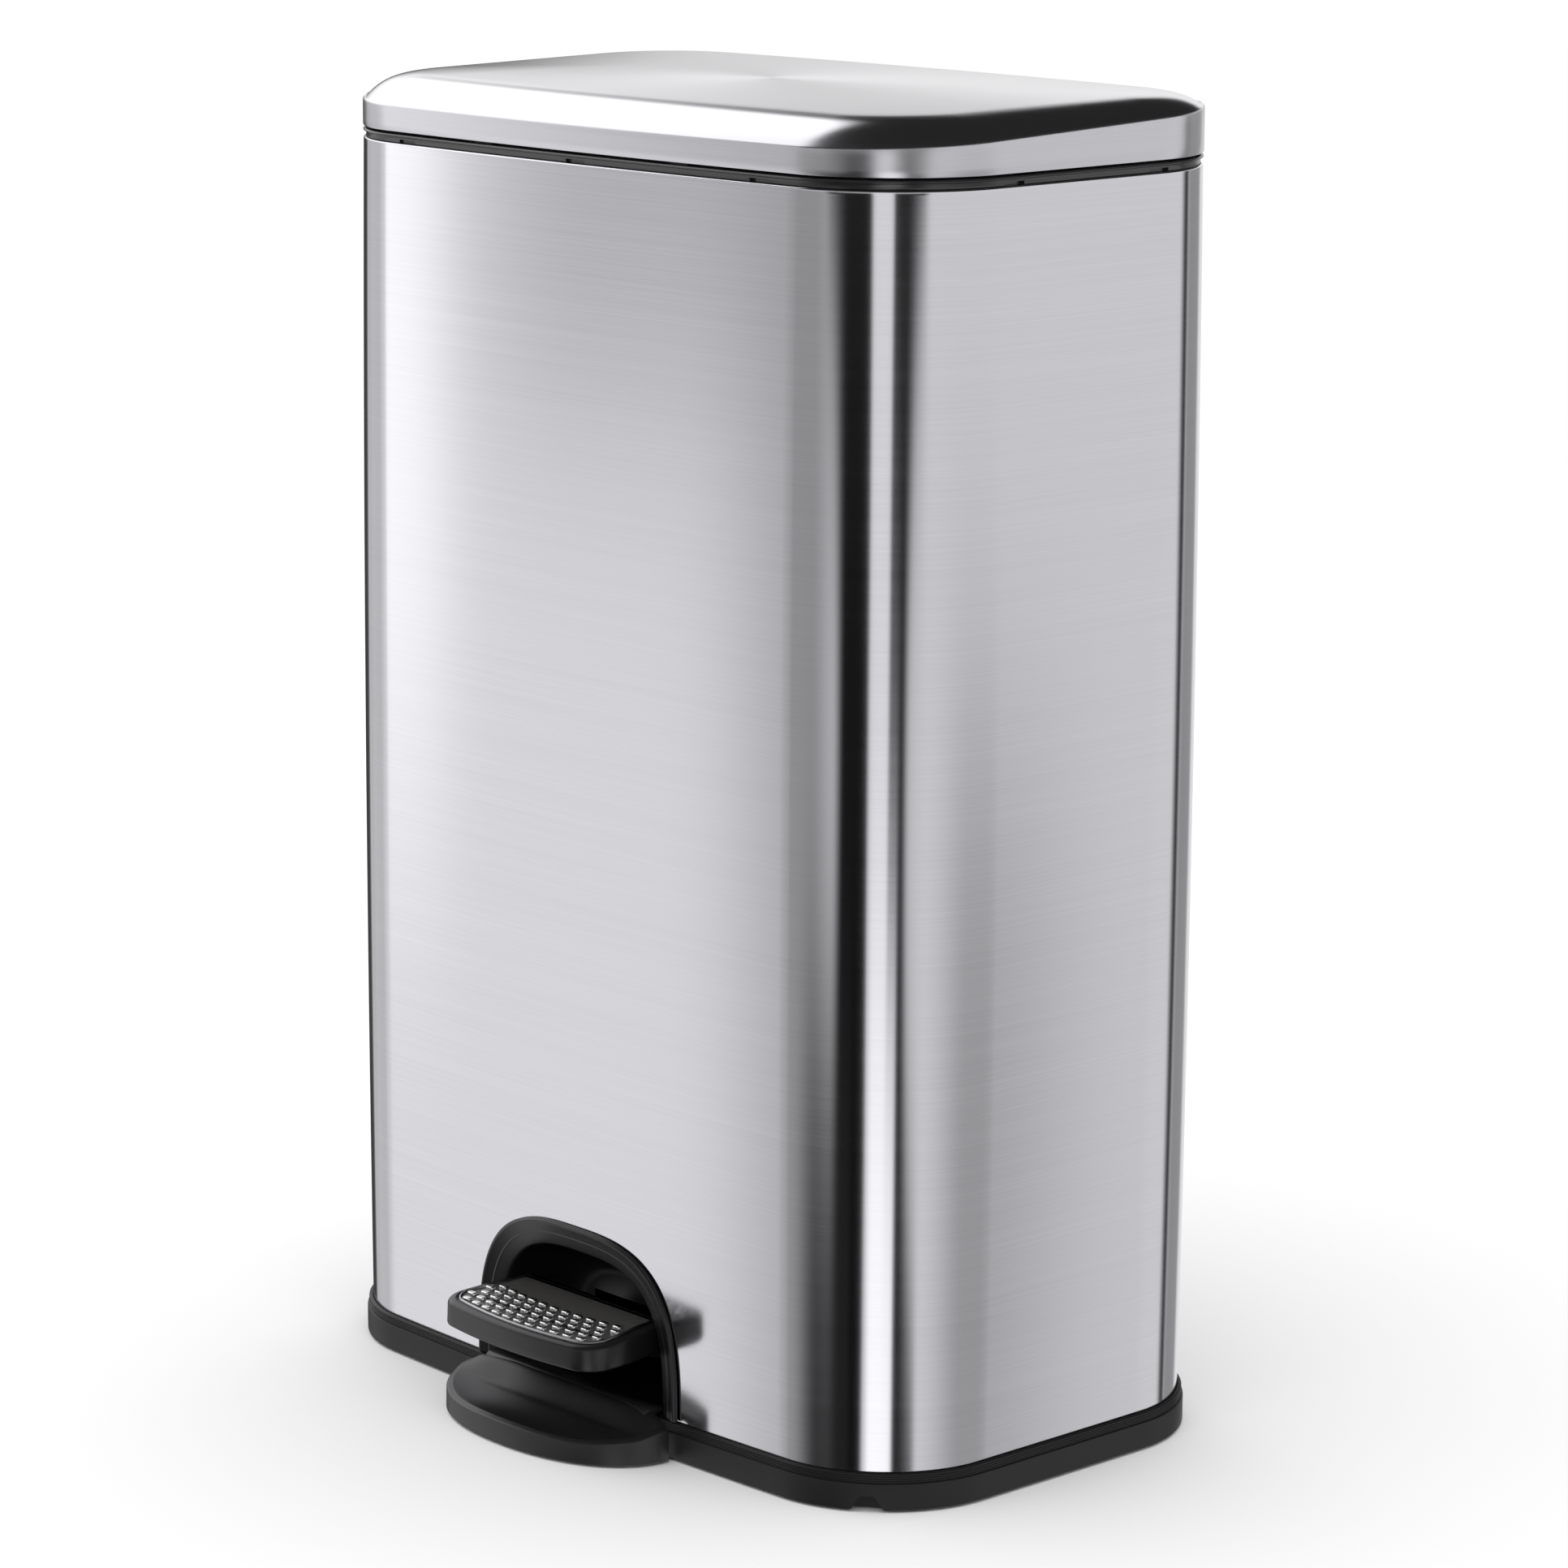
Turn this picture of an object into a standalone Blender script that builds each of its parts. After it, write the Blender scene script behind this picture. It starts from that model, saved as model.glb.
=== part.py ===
# Pedal trash can: a steel wrap on a plastic base, with a hinged steel lid that a front pedal lifts
# through a lever and a rod. Metres, +Z up, front is -Y. Meshes are drawn about the body's centre,
# and the root empty moves them so that the origin is the middle of the whole object's footprint.
from math import atan2, cos, pi, radians, sin, tan

import bmesh
import bpy
from mathutils import Vector

# Plan of the steel body
HALF_WIDTH = 0.2017
HALF_DEPTH = 0.11375
CORNER_RADIUS = 0.0597
FACE_BOW = 0.008           # how far the front and the back stand out at the middle
CORNER_STEPS = 7
FACE_STEPS = 10
FRONT_FACE = HALF_DEPTH + FACE_BOW
ROOT_SHIFT = 0.01005         # the body's centre, from the middle of the footprint

# Heights
SHELL_BOTTOM, SHELL_TOP = 0.012, 0.600
RIM_TOP = 0.6043
LID_BOTTOM = 0.6053
PAN_BOTTOM, PAN_TOP = 0.0103, 0.0128
BUCKET_BOTTOM, BUCKET_TOP = 0.097, 0.5778

NOTCH_TURN = radians(52)   # direction of a corner notch in plan, from the X axis

# Sheet thicknesses and fits
STEEL = 0.001
PLASTIC = 0.0022
GAP = 0.0003
BARREL = 0.0015            # the steel swells by this much at half height

# Pedal housing: a superellipse arch standing on the base ring
ARCH_HALF_WIDTH, ARCH_HEIGHT, ARCH_FOOT = 0.0717, 0.0786, 0.0188
ARCH_POWER = 3.02
ARCH_STEPS = 28

# Lid hinge, behind the body
HINGE_Y, HINGE_Z = 0.137, 0.600
HINGE_PIN_RADIUS = 0.0025
EAR_X = 0.0590
LID_OPEN = radians(76)

# Pedal lever and lift rod
AXLE_Y, AXLE_Z = -0.005, 0.026
AXLE_RADIUS = 0.003
ROD_RADIUS = 0.0025
ROD_X = 0.0085
ARM_REACH = 0.0125         # from the hinge axis forward to the rod
ROD_LOW_Y, ROD_HIGH_Y = 0.110, HINGE_Y - ARM_REACH
ROD_LOW_Z, ROD_HIGH_Z = 0.037, HINGE_Z - ARM_REACH * tan(LID_OPEN / 2)
ROD_BEND = 0.004

# Pedal pad
PAD_HALF_WIDTH, PAD_FRONT, PAD_BACK = 0.0555, -0.1613, -0.110
PAD_BOTTOM, PAD_TOP, PAD_SLOPE = 0.0456, 0.0575, 0.047
PAD_CORNER, PAD_BOW = 0.0120, 0.0057
PAD_NECK = 0.0043           # how much narrower each side is where the pad enters the housing
TREAD_BORDER = 0.0047       # width of the bevelled border around the rubber tread

# Toe guard
TOE_HALF_WIDTH, TOE_FRONT, TOE_BACK, TOE_POWER = 0.0717, -0.1711, -0.1258, 2.19
TOE_EDGE, TOE_DIP, TOE_RIDGE = 0.0140, 0.0035, 0.0228
TOE_DISH_END = 0.62         # where the dish ends and the ridge begins, of the tray's depth

SCREW_SHANK = 0.0018
SCREW_HEAD = 0.0035


# ---------------------------------------------------------------- helpers

def clear_scene():
    for old in list(bpy.data.objects):
        bpy.data.objects.remove(old, do_unlink=True)


def empty(name, place, parent=None):
    made = bpy.data.objects.new(name, None)
    bpy.context.scene.collection.objects.link(made)
    made.parent = parent
    made.location = place
    return made


def material(name, colour, roughness, metallic=0.0):
    made = bpy.data.materials.new(name)
    made.use_nodes = True
    shader = made.node_tree.nodes["Principled BSDF"]
    shader.inputs["Base Color"].default_value = (*colour, 1.0)
    shader.inputs["Roughness"].default_value = roughness
    shader.inputs["Metallic"].default_value = metallic
    return made


def finish(name, mesh_builder, slot, axis, smooth=35):
    """Turn a filled bmesh into an object whose parent empty stands on its joint's axis."""
    bmesh.ops.recalc_face_normals(mesh_builder, faces=mesh_builder.faces)
    mesh = bpy.data.meshes.new(name)
    mesh_builder.to_mesh(mesh)
    mesh_builder.free()
    mesh.shade_smooth()
    mesh.set_sharp_from_angle(angle=radians(smooth))
    mesh.materials.append(slot)
    made = bpy.data.objects.new(name, mesh)
    bpy.context.scene.collection.objects.link(made)
    made.parent = axis
    made.location = -axis.location if axis.parent else Vector()
    return made


def boolean(target, other, operation="DIFFERENCE"):
    other.hide_render = True
    other.display_type = "WIRE"
    step = target.modifiers.new(other.name, "BOOLEAN")
    step.operation = operation
    step.object = other
    return target


def loft(rings, loop=False):
    """Join rings of equal length. A loop closes on its first ring, otherwise both ends are capped."""
    builder = bmesh.new()
    rows = [[builder.verts.new(point) for point in ring] for ring in rings]
    pairs = list(zip(rows, rows[1:])) + ([(rows[-1], rows[0])] if loop else [])
    for low, high in pairs:
        count = len(low)
        for i in range(count):
            j = (i + 1) % count
            builder.faces.new((low[i], low[j], high[j], high[i]))
    if not loop:
        builder.faces.new(rows[0])
        builder.faces.new(rows[-1])
    return builder


def prism(outline, axis, low, high):
    """Extrude a 2-D outline along X, Y or Z. The outline holds the two other coordinates in order."""
    place = {"x": lambda p, t: (t, p[0], p[1]),
             "y": lambda p, t: (p[0], t, p[1]),
             "z": lambda p, t: (p[0], p[1], t)}[axis]
    return loft([[place(p, low) for p in outline], [place(p, high) for p in outline]])


def block(low, high):
    (x0, y0, z0), (x1, y1, z1) = low, high
    return prism([(x0, y0), (x1, y0), (x1, y1), (x0, y1)], "z", z0, z1)


def circle(centre, radius, steps=16, start=0.0, sweep=2 * pi):
    closed = abs(sweep - 2 * pi) < 1e-6
    count = steps if closed else steps + 1
    return [(centre[0] + radius * cos(start + sweep * i / steps),
             centre[1] + radius * sin(start + sweep * i / steps)) for i in range(count)]


def rod(axis, centre, radius, low, high, steps=16):
    return prism(circle(centre, radius, steps), axis, low, high)


def plan(inset):
    """The body's plan drawn in by inset: rounded corners, bowed front and back."""
    half_x, half_y = HALF_WIDTH - inset, HALF_DEPTH - inset
    radius = max(CORNER_RADIUS - inset, 0.004)
    points = []
    for turn, (side_x, side_y) in enumerate(((1, -1), (1, 1), (-1, 1), (-1, -1))):
        centre = (side_x * (half_x - radius), side_y * (half_y - radius))
        points += circle(centre, radius, CORNER_STEPS, (turn - 1) * pi / 2, pi / 2)
        if turn in (1, 3):
            start, end = points[-1][0], -points[-1][0]
            points += [(start + (end - start) * i / FACE_STEPS, points[-1][1])
                       for i in range(1, FACE_STEPS)]
    return [(x, bowed(x, y, half_x, half_y)) for x, y in points]


def bowed(x, y, half_x=HALF_WIDTH, half_y=HALF_DEPTH):
    side = 1 if y > 0 else -1
    return y + side * FACE_BOW * (1 - (x / half_x) ** 2) * (y / half_y) ** 2


def ring(inset, height):
    """One plan ring. Height is a number, or a function of y."""
    level = height if callable(height) else lambda y: height
    return [(x, y, level(y)) for x, y in plan(inset)]


def front_y(x):
    return -(HALF_DEPTH + FACE_BOW * (1 - (x / HALF_WIDTH) ** 2))


# ---------------------------------------------------------------- fixed pieces

def body_shell(slot, root):
    heights = [0, 0.15, 0.4, 0.65, 0.9, 1]
    level = [SHELL_BOTTOM + t * (SHELL_TOP - SHELL_BOTTOM) for t in heights]
    swell = [4 * BARREL * t * (1 - t) for t in heights]
    outer = [ring(-s, z) for s, z in zip(swell, level)]
    inner = [ring(STEEL - s, z) for s, z in zip(swell, level)]
    shell = finish("body_shell", loft(outer + inner[::-1], loop=True), slot, root)
    arch = arch_outline(0.0062)
    arch = [(arch[0][0], 0.0)] + arch + [(arch[-1][0], 0.0)]
    boolean(shell, finish("cut_arch", prism(arch, "y", -0.16, -0.10), slot, root))
    window = block((-0.013, 0.112, 0.512), (0.013, 0.130, 0.62))
    return boolean(shell, finish("cut_shell_window", window, slot, root))


def rim_ring(slot, root):
    section = [(0.0, SHELL_TOP + GAP), (0.0, 0.6036), (0.0006, RIM_TOP), (0.0038, RIM_TOP),
               (0.0038, 0.5745), (0.0145, 0.5745), (0.0145, 0.5720), (0.0013, 0.5720),
               (0.0013, SHELL_TOP + GAP)]
    rim = finish("rim_ring", loft([ring(i, z) for i, z in section], loop=True), slot, root)
    boolean(rim, finish("cut_rim_window", block((-0.013, 0.1125, 0.580), (0.013, 0.130, 0.62)), slot, root))
    for name, side in (("left", -1), ("right", 1)):
        near, far = sorted((side * 0.1868, side * 0.1975))
        finger = block((near, -0.045, 0.56), (far, 0.045, 0.59))
        boolean(rim, finish("cut_rim_" + name, finger, slot, root))
    return rim


def base_ring(slot, root):
    section = [(-0.003, 0.001), (-0.003, 0.0135), (-0.0022, 0.0145), (-0.0018, 0.0182),
               (-0.0003, 0.0182), (-0.0003, 0.0115), (0.0013, 0.0115), (0.0013, 0.0240),
               (0.0035, 0.0240), (0.0035, 0.0100), (0.0120, 0.0100), (0.0120, 0.001)]
    base = finish("base_ring", loft([ring(i, z) for i, z in section], loop=True), slot, root)
    for side_x in (-1, 1):
        for side_y in (-1, 1):
            notch = corner_notch(side_x, side_y)
            boolean(base, finish(f"cut_notch_{side_x}_{side_y}", notch, slot, root))
    sill = block((-0.0660, -0.1235, 0.0184), (0.0660, -0.1100, 0.03))
    return boolean(base, finish("cut_base_sill", sill, slot, root))


def corner_notch(side_x, side_y):
    """A trapezoid notch under a corner of the base ring, 17 mm wide at the floor and 7 mm at its top."""
    centre = Vector((side_x * (HALF_WIDTH - CORNER_RADIUS), side_y * (HALF_DEPTH - CORNER_RADIUS)))
    out = Vector((side_x * cos(NOTCH_TURN), side_y * sin(NOTCH_TURN)))
    along = Vector((-out.y, out.x))
    floor_half, top_half, top = 0.0085, 0.0035, 0.006
    slant = (floor_half - top_half) / top
    outline = [(top_half + slant * (top - z), z) for z in (-0.01, top)]
    rows = []
    for reach in (CORNER_RADIUS - 0.0015, CORNER_RADIUS + 0.02):
        spot = centre + out * reach
        (wide, low), (narrow, high) = outline
        rows.append([(*(spot + along * half), z)
                     for half, z in ((-wide, low), (wide, low), (narrow, high), (-narrow, high))])
    return loft(rows)


def base_pan(slot, root):
    return finish("base_pan", loft([ring(0.0040, PAN_BOTTOM), ring(0.0040, PAN_TOP)]), slot, root)


def arch_outline(inset, foot=ARCH_FOOT):
    """Left foot, over the top, to the right foot, as (x, z)."""
    half, high = ARCH_HALF_WIDTH - inset, ARCH_HEIGHT - inset
    points = []
    for i in range(ARCH_STEPS + 1):
        turn = pi - pi * i / ARCH_STEPS
        c, s = cos(turn), sin(turn)
        points.append((half * (1 if c > 0 else -1) * abs(c) ** (2 / ARCH_POWER),
                       foot + high * abs(s) ** (2 / ARCH_POWER)))
    return points


def arch_rib(inset, back, flat=0.0):
    """One open arch, back metres behind the steel's bowed front face, or behind a flat plane."""
    return [(x, front_y(x) * (1 - flat) - FRONT_FACE * flat + back, z) for x, z in arch_outline(inset)]


def arch_shell(ribs):
    """Skin open arches in turn, close the first and the last, and close the feet with one face."""
    builder = bmesh.new()
    rows = [[builder.verts.new(point) for point in rib] for rib in ribs]
    for low, high in zip(rows, rows[1:]):
        for i in range(len(low) - 1):
            builder.faces.new((low[i], low[i + 1], high[i + 1], high[i]))
    builder.faces.new(rows[0])
    builder.faces.new(rows[-1])
    builder.faces.new([row[0] for row in rows] + [row[-1] for row in rows[::-1]])
    return builder


def pedal_housing(slot, root):
    """A beaded flange on the steel, a sloping frame, and a pocket behind the pedal."""
    pocket = [(0.0340, 0.0353, 1), (0.0220, 0.0300, 1), (0.0150, 0.0195, 1), (0.0134, 0.0050, 0.5),
              (0.0131, 0.0014, 0), (0.0080, -0.0003, 0), (0.0030, -0.0024, 0)]
    flange = [(0.0018, -0.0029, 0), (0.0006, -0.0027, 0), (0.0, -0.0021, 0), (0.0, -0.0011, 0),
              (0.0068, -0.0011, 0)]
    outside = [(0.0080, 0.0080, 0.5), (0.0112, 0.0210, 1), (0.0196, 0.0322, 1), (0.0330, 0.0375, 1)]
    ribs = [arch_rib(*place) for place in pocket + flange + outside]
    housing = finish("pedal_housing", arch_shell(ribs), slot, root, smooth=50)
    lever_gate = block((-0.0275, -0.1000, 0.0), (0.0275, -0.0700, 0.0530))
    return boolean(housing, finish("cut_lever_gate", lever_gate, slot, root))


def toe_height(x, y, inset):
    """Top of the tray: a shallow dish, then a rounded ridge at the back that runs out at both ends."""
    depth = (y - TOE_FRONT) / (TOE_BACK - TOE_FRONT)
    off_centre = min(abs(x) / TOE_HALF_WIDTH, 1.0)
    dish = TOE_DIP * sin(pi * min(depth / TOE_DISH_END, 1.0)) * (1 - off_centre ** 2)
    blend = min(max((depth - TOE_DISH_END) / 0.34, 0.0), 1.0)
    climb = (TOE_RIDGE - TOE_EDGE) * (3 * blend ** 2 - 2 * blend ** 3) * (1 - off_centre ** 8)
    return TOE_EDGE - dish + climb - inset


def toe_body(inset, floor):
    """The tray as a solid down to floor, drawn in by inset on its outer sides."""
    across, along = 24, 9
    half = TOE_HALF_WIDTH - inset
    reach = TOE_BACK - TOE_FRONT - inset
    builder = bmesh.new()
    top, low = [], []
    for i in range(across + 1):
        turn = pi * i / across
        x = -half * (1 if cos(turn) > 0 else -1) * abs(cos(turn)) ** (2 / TOE_POWER)
        edge = TOE_BACK - reach * abs(sin(turn)) ** (2 / TOE_POWER)
        back = TOE_BACK + (0.001 if inset else 0.0)
        rows = [edge + (back - edge) * j / along for j in range(along + 1)]
        if i in (0, across):
            rows = [back]
        top.append([builder.verts.new((x, y, toe_height(x, y, inset))) for y in rows])
        low.append([builder.verts.new((x, y, floor)) for y in rows])
    for side in (top, low):
        for left, right in zip(side, side[1:]):
            fill_strip(builder, left, right)
    for a, b in zip(range(across), range(1, across + 1)):
        for end in (0, -1):
            corners = (top[a][end], top[b][end], low[b][end], low[a][end])
            builder.faces.new(corners)
    return builder


def fill_strip(builder, left, right):
    """Join two columns of vertices, one of which may be a single point."""
    if len(left) == 1 or len(right) == 1:
        point, column = (left[0], right) if len(left) == 1 else (right[0], left)
        for a, b in zip(column, column[1:]):
            builder.faces.new((point, a, b))
        return
    for j in range(len(left) - 1):
        builder.faces.new((left[j], right[j], right[j + 1], left[j + 1]))


def toe_guard(slot, root):
    tray = finish("toe_guard", toe_body(0.0, 0.001), slot, root, smooth=50)
    boolean(tray, finish("cut_tray_hollow", toe_body(PLASTIC, -0.004), slot, root))
    lip = [(-0.1275, 0.0190), (-0.1275, 0.0222), (-0.1240, 0.0224), (-0.1165, 0.0212),
           (-0.1165, 0.0190)]
    return boolean(tray, finish("add_sill_lip", prism(lip, "x", -0.057, 0.057), slot, root), "UNION")


def rear_cover(slot, root):
    """The hood behind the body over the hinge and the top of the rod, open at the top."""
    hood = finish("rear_cover", hood_body(0.072, 0.1510, 0.503, 0.5975), slot, root)
    return boolean(hood, finish("cut_hood", hood_body(0.0698, 0.1488, 0.5052, 0.62, 0.10), slot, root))


def hood_body(half, back, low, high, front=0.1231):
    radius = 0.012
    corners = circle((half - radius, back - radius), radius, 5, 0, pi / 2)
    corners += circle((-half + radius, back - radius), radius, 5, pi / 2, pi / 2)
    plan_points = [(-half, front), (half, front)] + corners
    sunk = [(x * 0.97, front + (y - front) * 0.72) for x, y in plan_points]
    rows = [[(x, y, low) for x, y in sunk], [(x, y, low + 0.018) for x, y in plan_points],
            [(x, y, high) for x, y in plan_points]]
    return loft(rows)


def hinge_bracket(slot, root):
    """Steel plate on the back of the body, with two ears that carry the hinge pin."""
    bracket = finish("hinge_bracket", block((-0.0605, 0.1229, 0.514), (0.0605, 0.1244, 0.592)), slot, root)
    ear = [(0.1236, 0.560), (0.1236, 0.597)]
    ear += circle((HINGE_Y, HINGE_Z), 0.0068, 8, pi * 0.75, -pi * 1.0)
    ear += [(0.1300, 0.560)]
    for side in (-1, 1):
        low, high = sorted((side * EAR_X, side * (EAR_X + 0.0015)))
        boolean(bracket, finish(f"add_ear_{side}", prism(ear, "x", low, high), slot, root), "UNION")
    hole = rod("x", (HINGE_Y, HINGE_Z), HINGE_PIN_RADIUS + GAP, -0.08, 0.08)
    boolean(bracket, finish("cut_pin_hole", hole, slot, root))
    boolean(bracket, finish("cut_bracket_window", block((-0.013, 0.11, 0.534), (0.013, 0.14, 0.61)), slot, root))
    return bracket


def hinge_pin(slot, root):
    return finish("hinge_pin", rod("x", (HINGE_Y, HINGE_Z), HINGE_PIN_RADIUS, -0.0635, 0.0635), slot, root)


def axle_bracket(slot, root):
    """Steel channel on the base pan that carries the pedal's axle."""
    low, high = PAN_TOP + GAP, 0.033
    bracket = finish("axle_bracket", block((-0.0260, -0.025, low), (0.0260, 0.015, low + 0.002)), slot, root)
    ear = [(-0.016, low), (-0.012, 0.028)]
    ear += circle((AXLE_Y, AXLE_Z), 0.0070, 8, pi * 0.85, -pi * 0.7)
    ear += [(0.002, 0.028), (0.006, low)]
    for side in (-1, 1):
        near, far = sorted((side * 0.0240, side * 0.0260))
        boolean(bracket, finish(f"add_axle_ear_{side}", prism(ear, "x", near, far), slot, root), "UNION")
    hole = rod("x", (AXLE_Y, AXLE_Z), AXLE_RADIUS + GAP, -0.05, 0.05)
    return boolean(bracket, finish("cut_axle_hole", hole, slot, root))


def pedal_axle(slot, root):
    return finish("pedal_axle", rod("x", (AXLE_Y, AXLE_Z), AXLE_RADIUS, -0.0320, 0.0320), slot, root)


def axle_clips(slot, root):
    for name, side in (("left", -1), ("right", 1)):
        low, high = sorted((side * 0.0275, side * 0.0287))
        clip = finish("axle_clip_" + name, rod("x", (AXLE_Y, AXLE_Z), 0.0058, low, high), slot, root)
        bore = rod("x", (AXLE_Y, AXLE_Z), AXLE_RADIUS + GAP, low - 0.002, high + 0.002)
        boolean(clip, finish("cut_clip_" + name, bore, slot, root))


def rod_guides(slot, root):
    for name, height in (("lower", 0.120), ("upper", 0.400)):
        low, high = height, height + 0.012
        shape = block((ROD_X - 0.008, 0.1040, low), (ROD_X + 0.008, 0.1196, high))
        guide = finish("rod_guide_" + name, shape, slot, root)
        bore = rod("z", (ROD_X, ROD_LOW_Y), ROD_RADIUS + 0.0006, low - 0.01, high + 0.01)
        boolean(guide, finish("cut_guide_" + name, bore, slot, root))


def inner_bucket(slot, root):
    rings = [ring(0.0245, BUCKET_BOTTOM), ring(0.0225, BUCKET_BOTTOM + 0.004), ring(0.0156, 0.5748),
             ring(0.0050, 0.5748), ring(0.0050, BUCKET_TOP), ring(0.0178, BUCKET_TOP),
             ring(0.0250, BUCKET_BOTTOM + 0.007), ring(0.0270, BUCKET_BOTTOM + 0.0025)]
    bucket = finish("inner_bucket", loft(rings), slot, root)
    for name, side in (("left", -1), ("right", 1)):
        near, far = sorted((side * 0.1868, side * 0.21))
        grip = block((near, -0.045, 0.56), (far, 0.045, 0.59))
        boolean(bucket, finish("cut_grip_" + name, grip, slot, root))
    return bucket


def feet(slot, root):
    for name, x, y in corners(0.155, 0.072):
        finish("foot_" + name, rod("z", (x, y), 0.010, 0.0, PAN_BOTTOM - GAP, 24), slot, root)


def corners(x, y):
    """Names and places of the four corners of a rectangle."""
    return [("front_left", -x, -y), ("front_right", x, -y), ("rear_left", -x, y), ("rear_right", x, y)]


def screw(name, centre, axis, tip, seat, head_end, slot, parent):
    """A screw along an axis: the head runs from seat to head_end, the shank from seat to tip."""
    place = {"y": lambda r, t, c: (centre[0] + r * c[0], t, centre[1] + r * c[1]),
             "z": lambda r, t, c: (centre[0] + r * c[0], centre[1] + r * c[1], t)}[axis]
    unit = circle((0, 0), 1.0, 12)
    rows = [[place(radius, along, c) for c in unit]
            for radius, along in ((SCREW_SHANK * 0.6, tip), (SCREW_SHANK, tip + (seat - tip) * 0.2),
                                  (SCREW_SHANK, seat), (SCREW_HEAD, seat),
                                  (SCREW_HEAD, seat + (head_end - seat) * 0.6),
                                  (SCREW_HEAD * 0.7, head_end))]
    return finish(name, loft(rows), slot, parent)


def drill(targets, name, axis, centre, low, high, slot, root):
    hole = finish("cut_" + name, rod(axis, centre, SCREW_SHANK + GAP, low, high, 12), slot, root)
    for target in targets:
        boolean(target, hole)


# ---------------------------------------------------------------- lid

def skirt_top(y):
    return 0.6226 + 0.0388 * y


def crease(y):
    return 0.6312 + 0.0145 * y


def lid_level(rise, drop=0.0):
    """Height between the skirt's top edge (rise 0) and the crown's crease (rise 1)."""
    return lambda y: skirt_top(y) * (1 - rise) + crease(y) * rise - drop


def lid_shell(slot, axis):
    outer = [(-0.0003, LID_BOTTOM), (-0.0003, lid_level(0, 0.0006)), (0.0006, lid_level(0.08)),
             (0.0090, lid_level(0.60)), (0.0170, lid_level(0.88)), (0.0260, lid_level(1.0)),
             (0.0600, lid_level(1.0, -0.0009))]
    inner = [(0.0600, lid_level(1.0, 0.0001)), (0.0262, lid_level(1.0, 0.0010)),
             (0.0174, lid_level(0.88, 0.0010)), (0.0096, lid_level(0.60, 0.0011)),
             (0.0008, lid_level(0.0, 0.0004)), (0.0008, LID_BOTTOM)]
    rings = [ring(i, z) for i, z in outer[::-1] + inner[::-1]]
    lid = finish("lid_shell", loft(rings), slot, axis)
    gate = block((-0.0625, 0.105, 0.60), (0.0625, 0.14, 0.6106))
    return boolean(lid, finish("cut_lid_gate", gate, slot, axis.parent))


def lid_liner(slot, axis):
    section = [(0.0024, 0.6100), (0.0024, 0.6080), (0.0048, 0.6080), (0.0048, 0.5985),
               (0.0068, 0.5985), (0.0068, 0.6080)]
    liner = finish("lid_liner", loft([ring(i, z) for i, z in section]), slot, axis)
    gate = block((-0.0625, 0.105, 0.59), (0.0625, 0.14, 0.6079))
    return boolean(liner, finish("cut_liner_gate", gate, slot, axis.parent))


def lid_hinge_plate(slot, axis):
    """Steel plate under the liner, with two knuckles on the pin and the slotted lift arm."""
    low, high = 0.6054, 0.6076
    plate = finish("lid_hinge_plate", block((-0.0560, 0.098, low), (0.0560, 0.1275, high)), slot, axis)
    knuckle = [(0.1240, high), (0.1240, low)] + circle((HINGE_Y, HINGE_Z), 0.0064, 12, pi * 0.95, 1.55 * pi)
    for name, near, far in (("left", -0.0550, -0.0350), ("right", 0.0350, 0.0550)):
        boolean(plate, finish("add_knuckle_" + name, prism(knuckle, "x", near, far), slot, axis.parent), "UNION")
    arm = finish("add_lift_arm", prism(lift_arm_outline(low, high), "x", -0.003, 0.003), slot, axis.parent)
    boolean(plate, arm, "UNION")
    pin_hole = rod("x", (HINGE_Y, HINGE_Z), HINGE_PIN_RADIUS + GAP, -0.08, 0.08)
    boolean(plate, finish("cut_knuckle_hole", pin_hole, slot, axis.parent))
    slot_hole = prism(stadium(arm_point(0.0122), arm_point(0.0162), 0.0034), "x", -0.01, 0.01)
    return boolean(plate, finish("cut_arm_slot", slot_hole, slot, axis.parent))


def arm_point(reach):
    """A point on the lift arm's centre line, measured from the hinge axis."""
    turn = atan2(ROD_HIGH_Z - HINGE_Z, ROD_HIGH_Y - HINGE_Y)
    return (HINGE_Y + reach * cos(turn), HINGE_Z + reach * sin(turn))


def stadium(start, end, radius, steps=6):
    turn = atan2(end[1] - start[1], end[0] - start[0])
    return (circle(end, radius, steps, turn - pi / 2, pi)
            + circle(start, radius, steps, turn + pi / 2, pi))


def lift_arm_outline(low, high):
    turn = atan2(ROD_HIGH_Z - HINGE_Z, ROD_HIGH_Y - HINGE_Y)
    tip = circle(arm_point(0.0162), 0.0057, 6, turn - pi / 2, pi)
    back = circle((HINGE_Y, HINGE_Z), 0.0064, 6, turn + pi * 0.80, pi * 0.45)
    return tip[::-1] + [(0.1225, low), (0.1225, high), (0.1300, high)] + back[::-1]


def lid_bumpers(slot, axis):
    for name, side in (("left", -1), ("right", 1)):
        low, high = sorted((side * 0.062, side * 0.074))
        edge = front_y(0.068)
        finish("lid_bumper_" + name, block((low, edge + 0.0012, 0.6046), (high, edge + 0.0036, 0.6077)), slot, axis)


# ---------------------------------------------------------------- pedal

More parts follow.
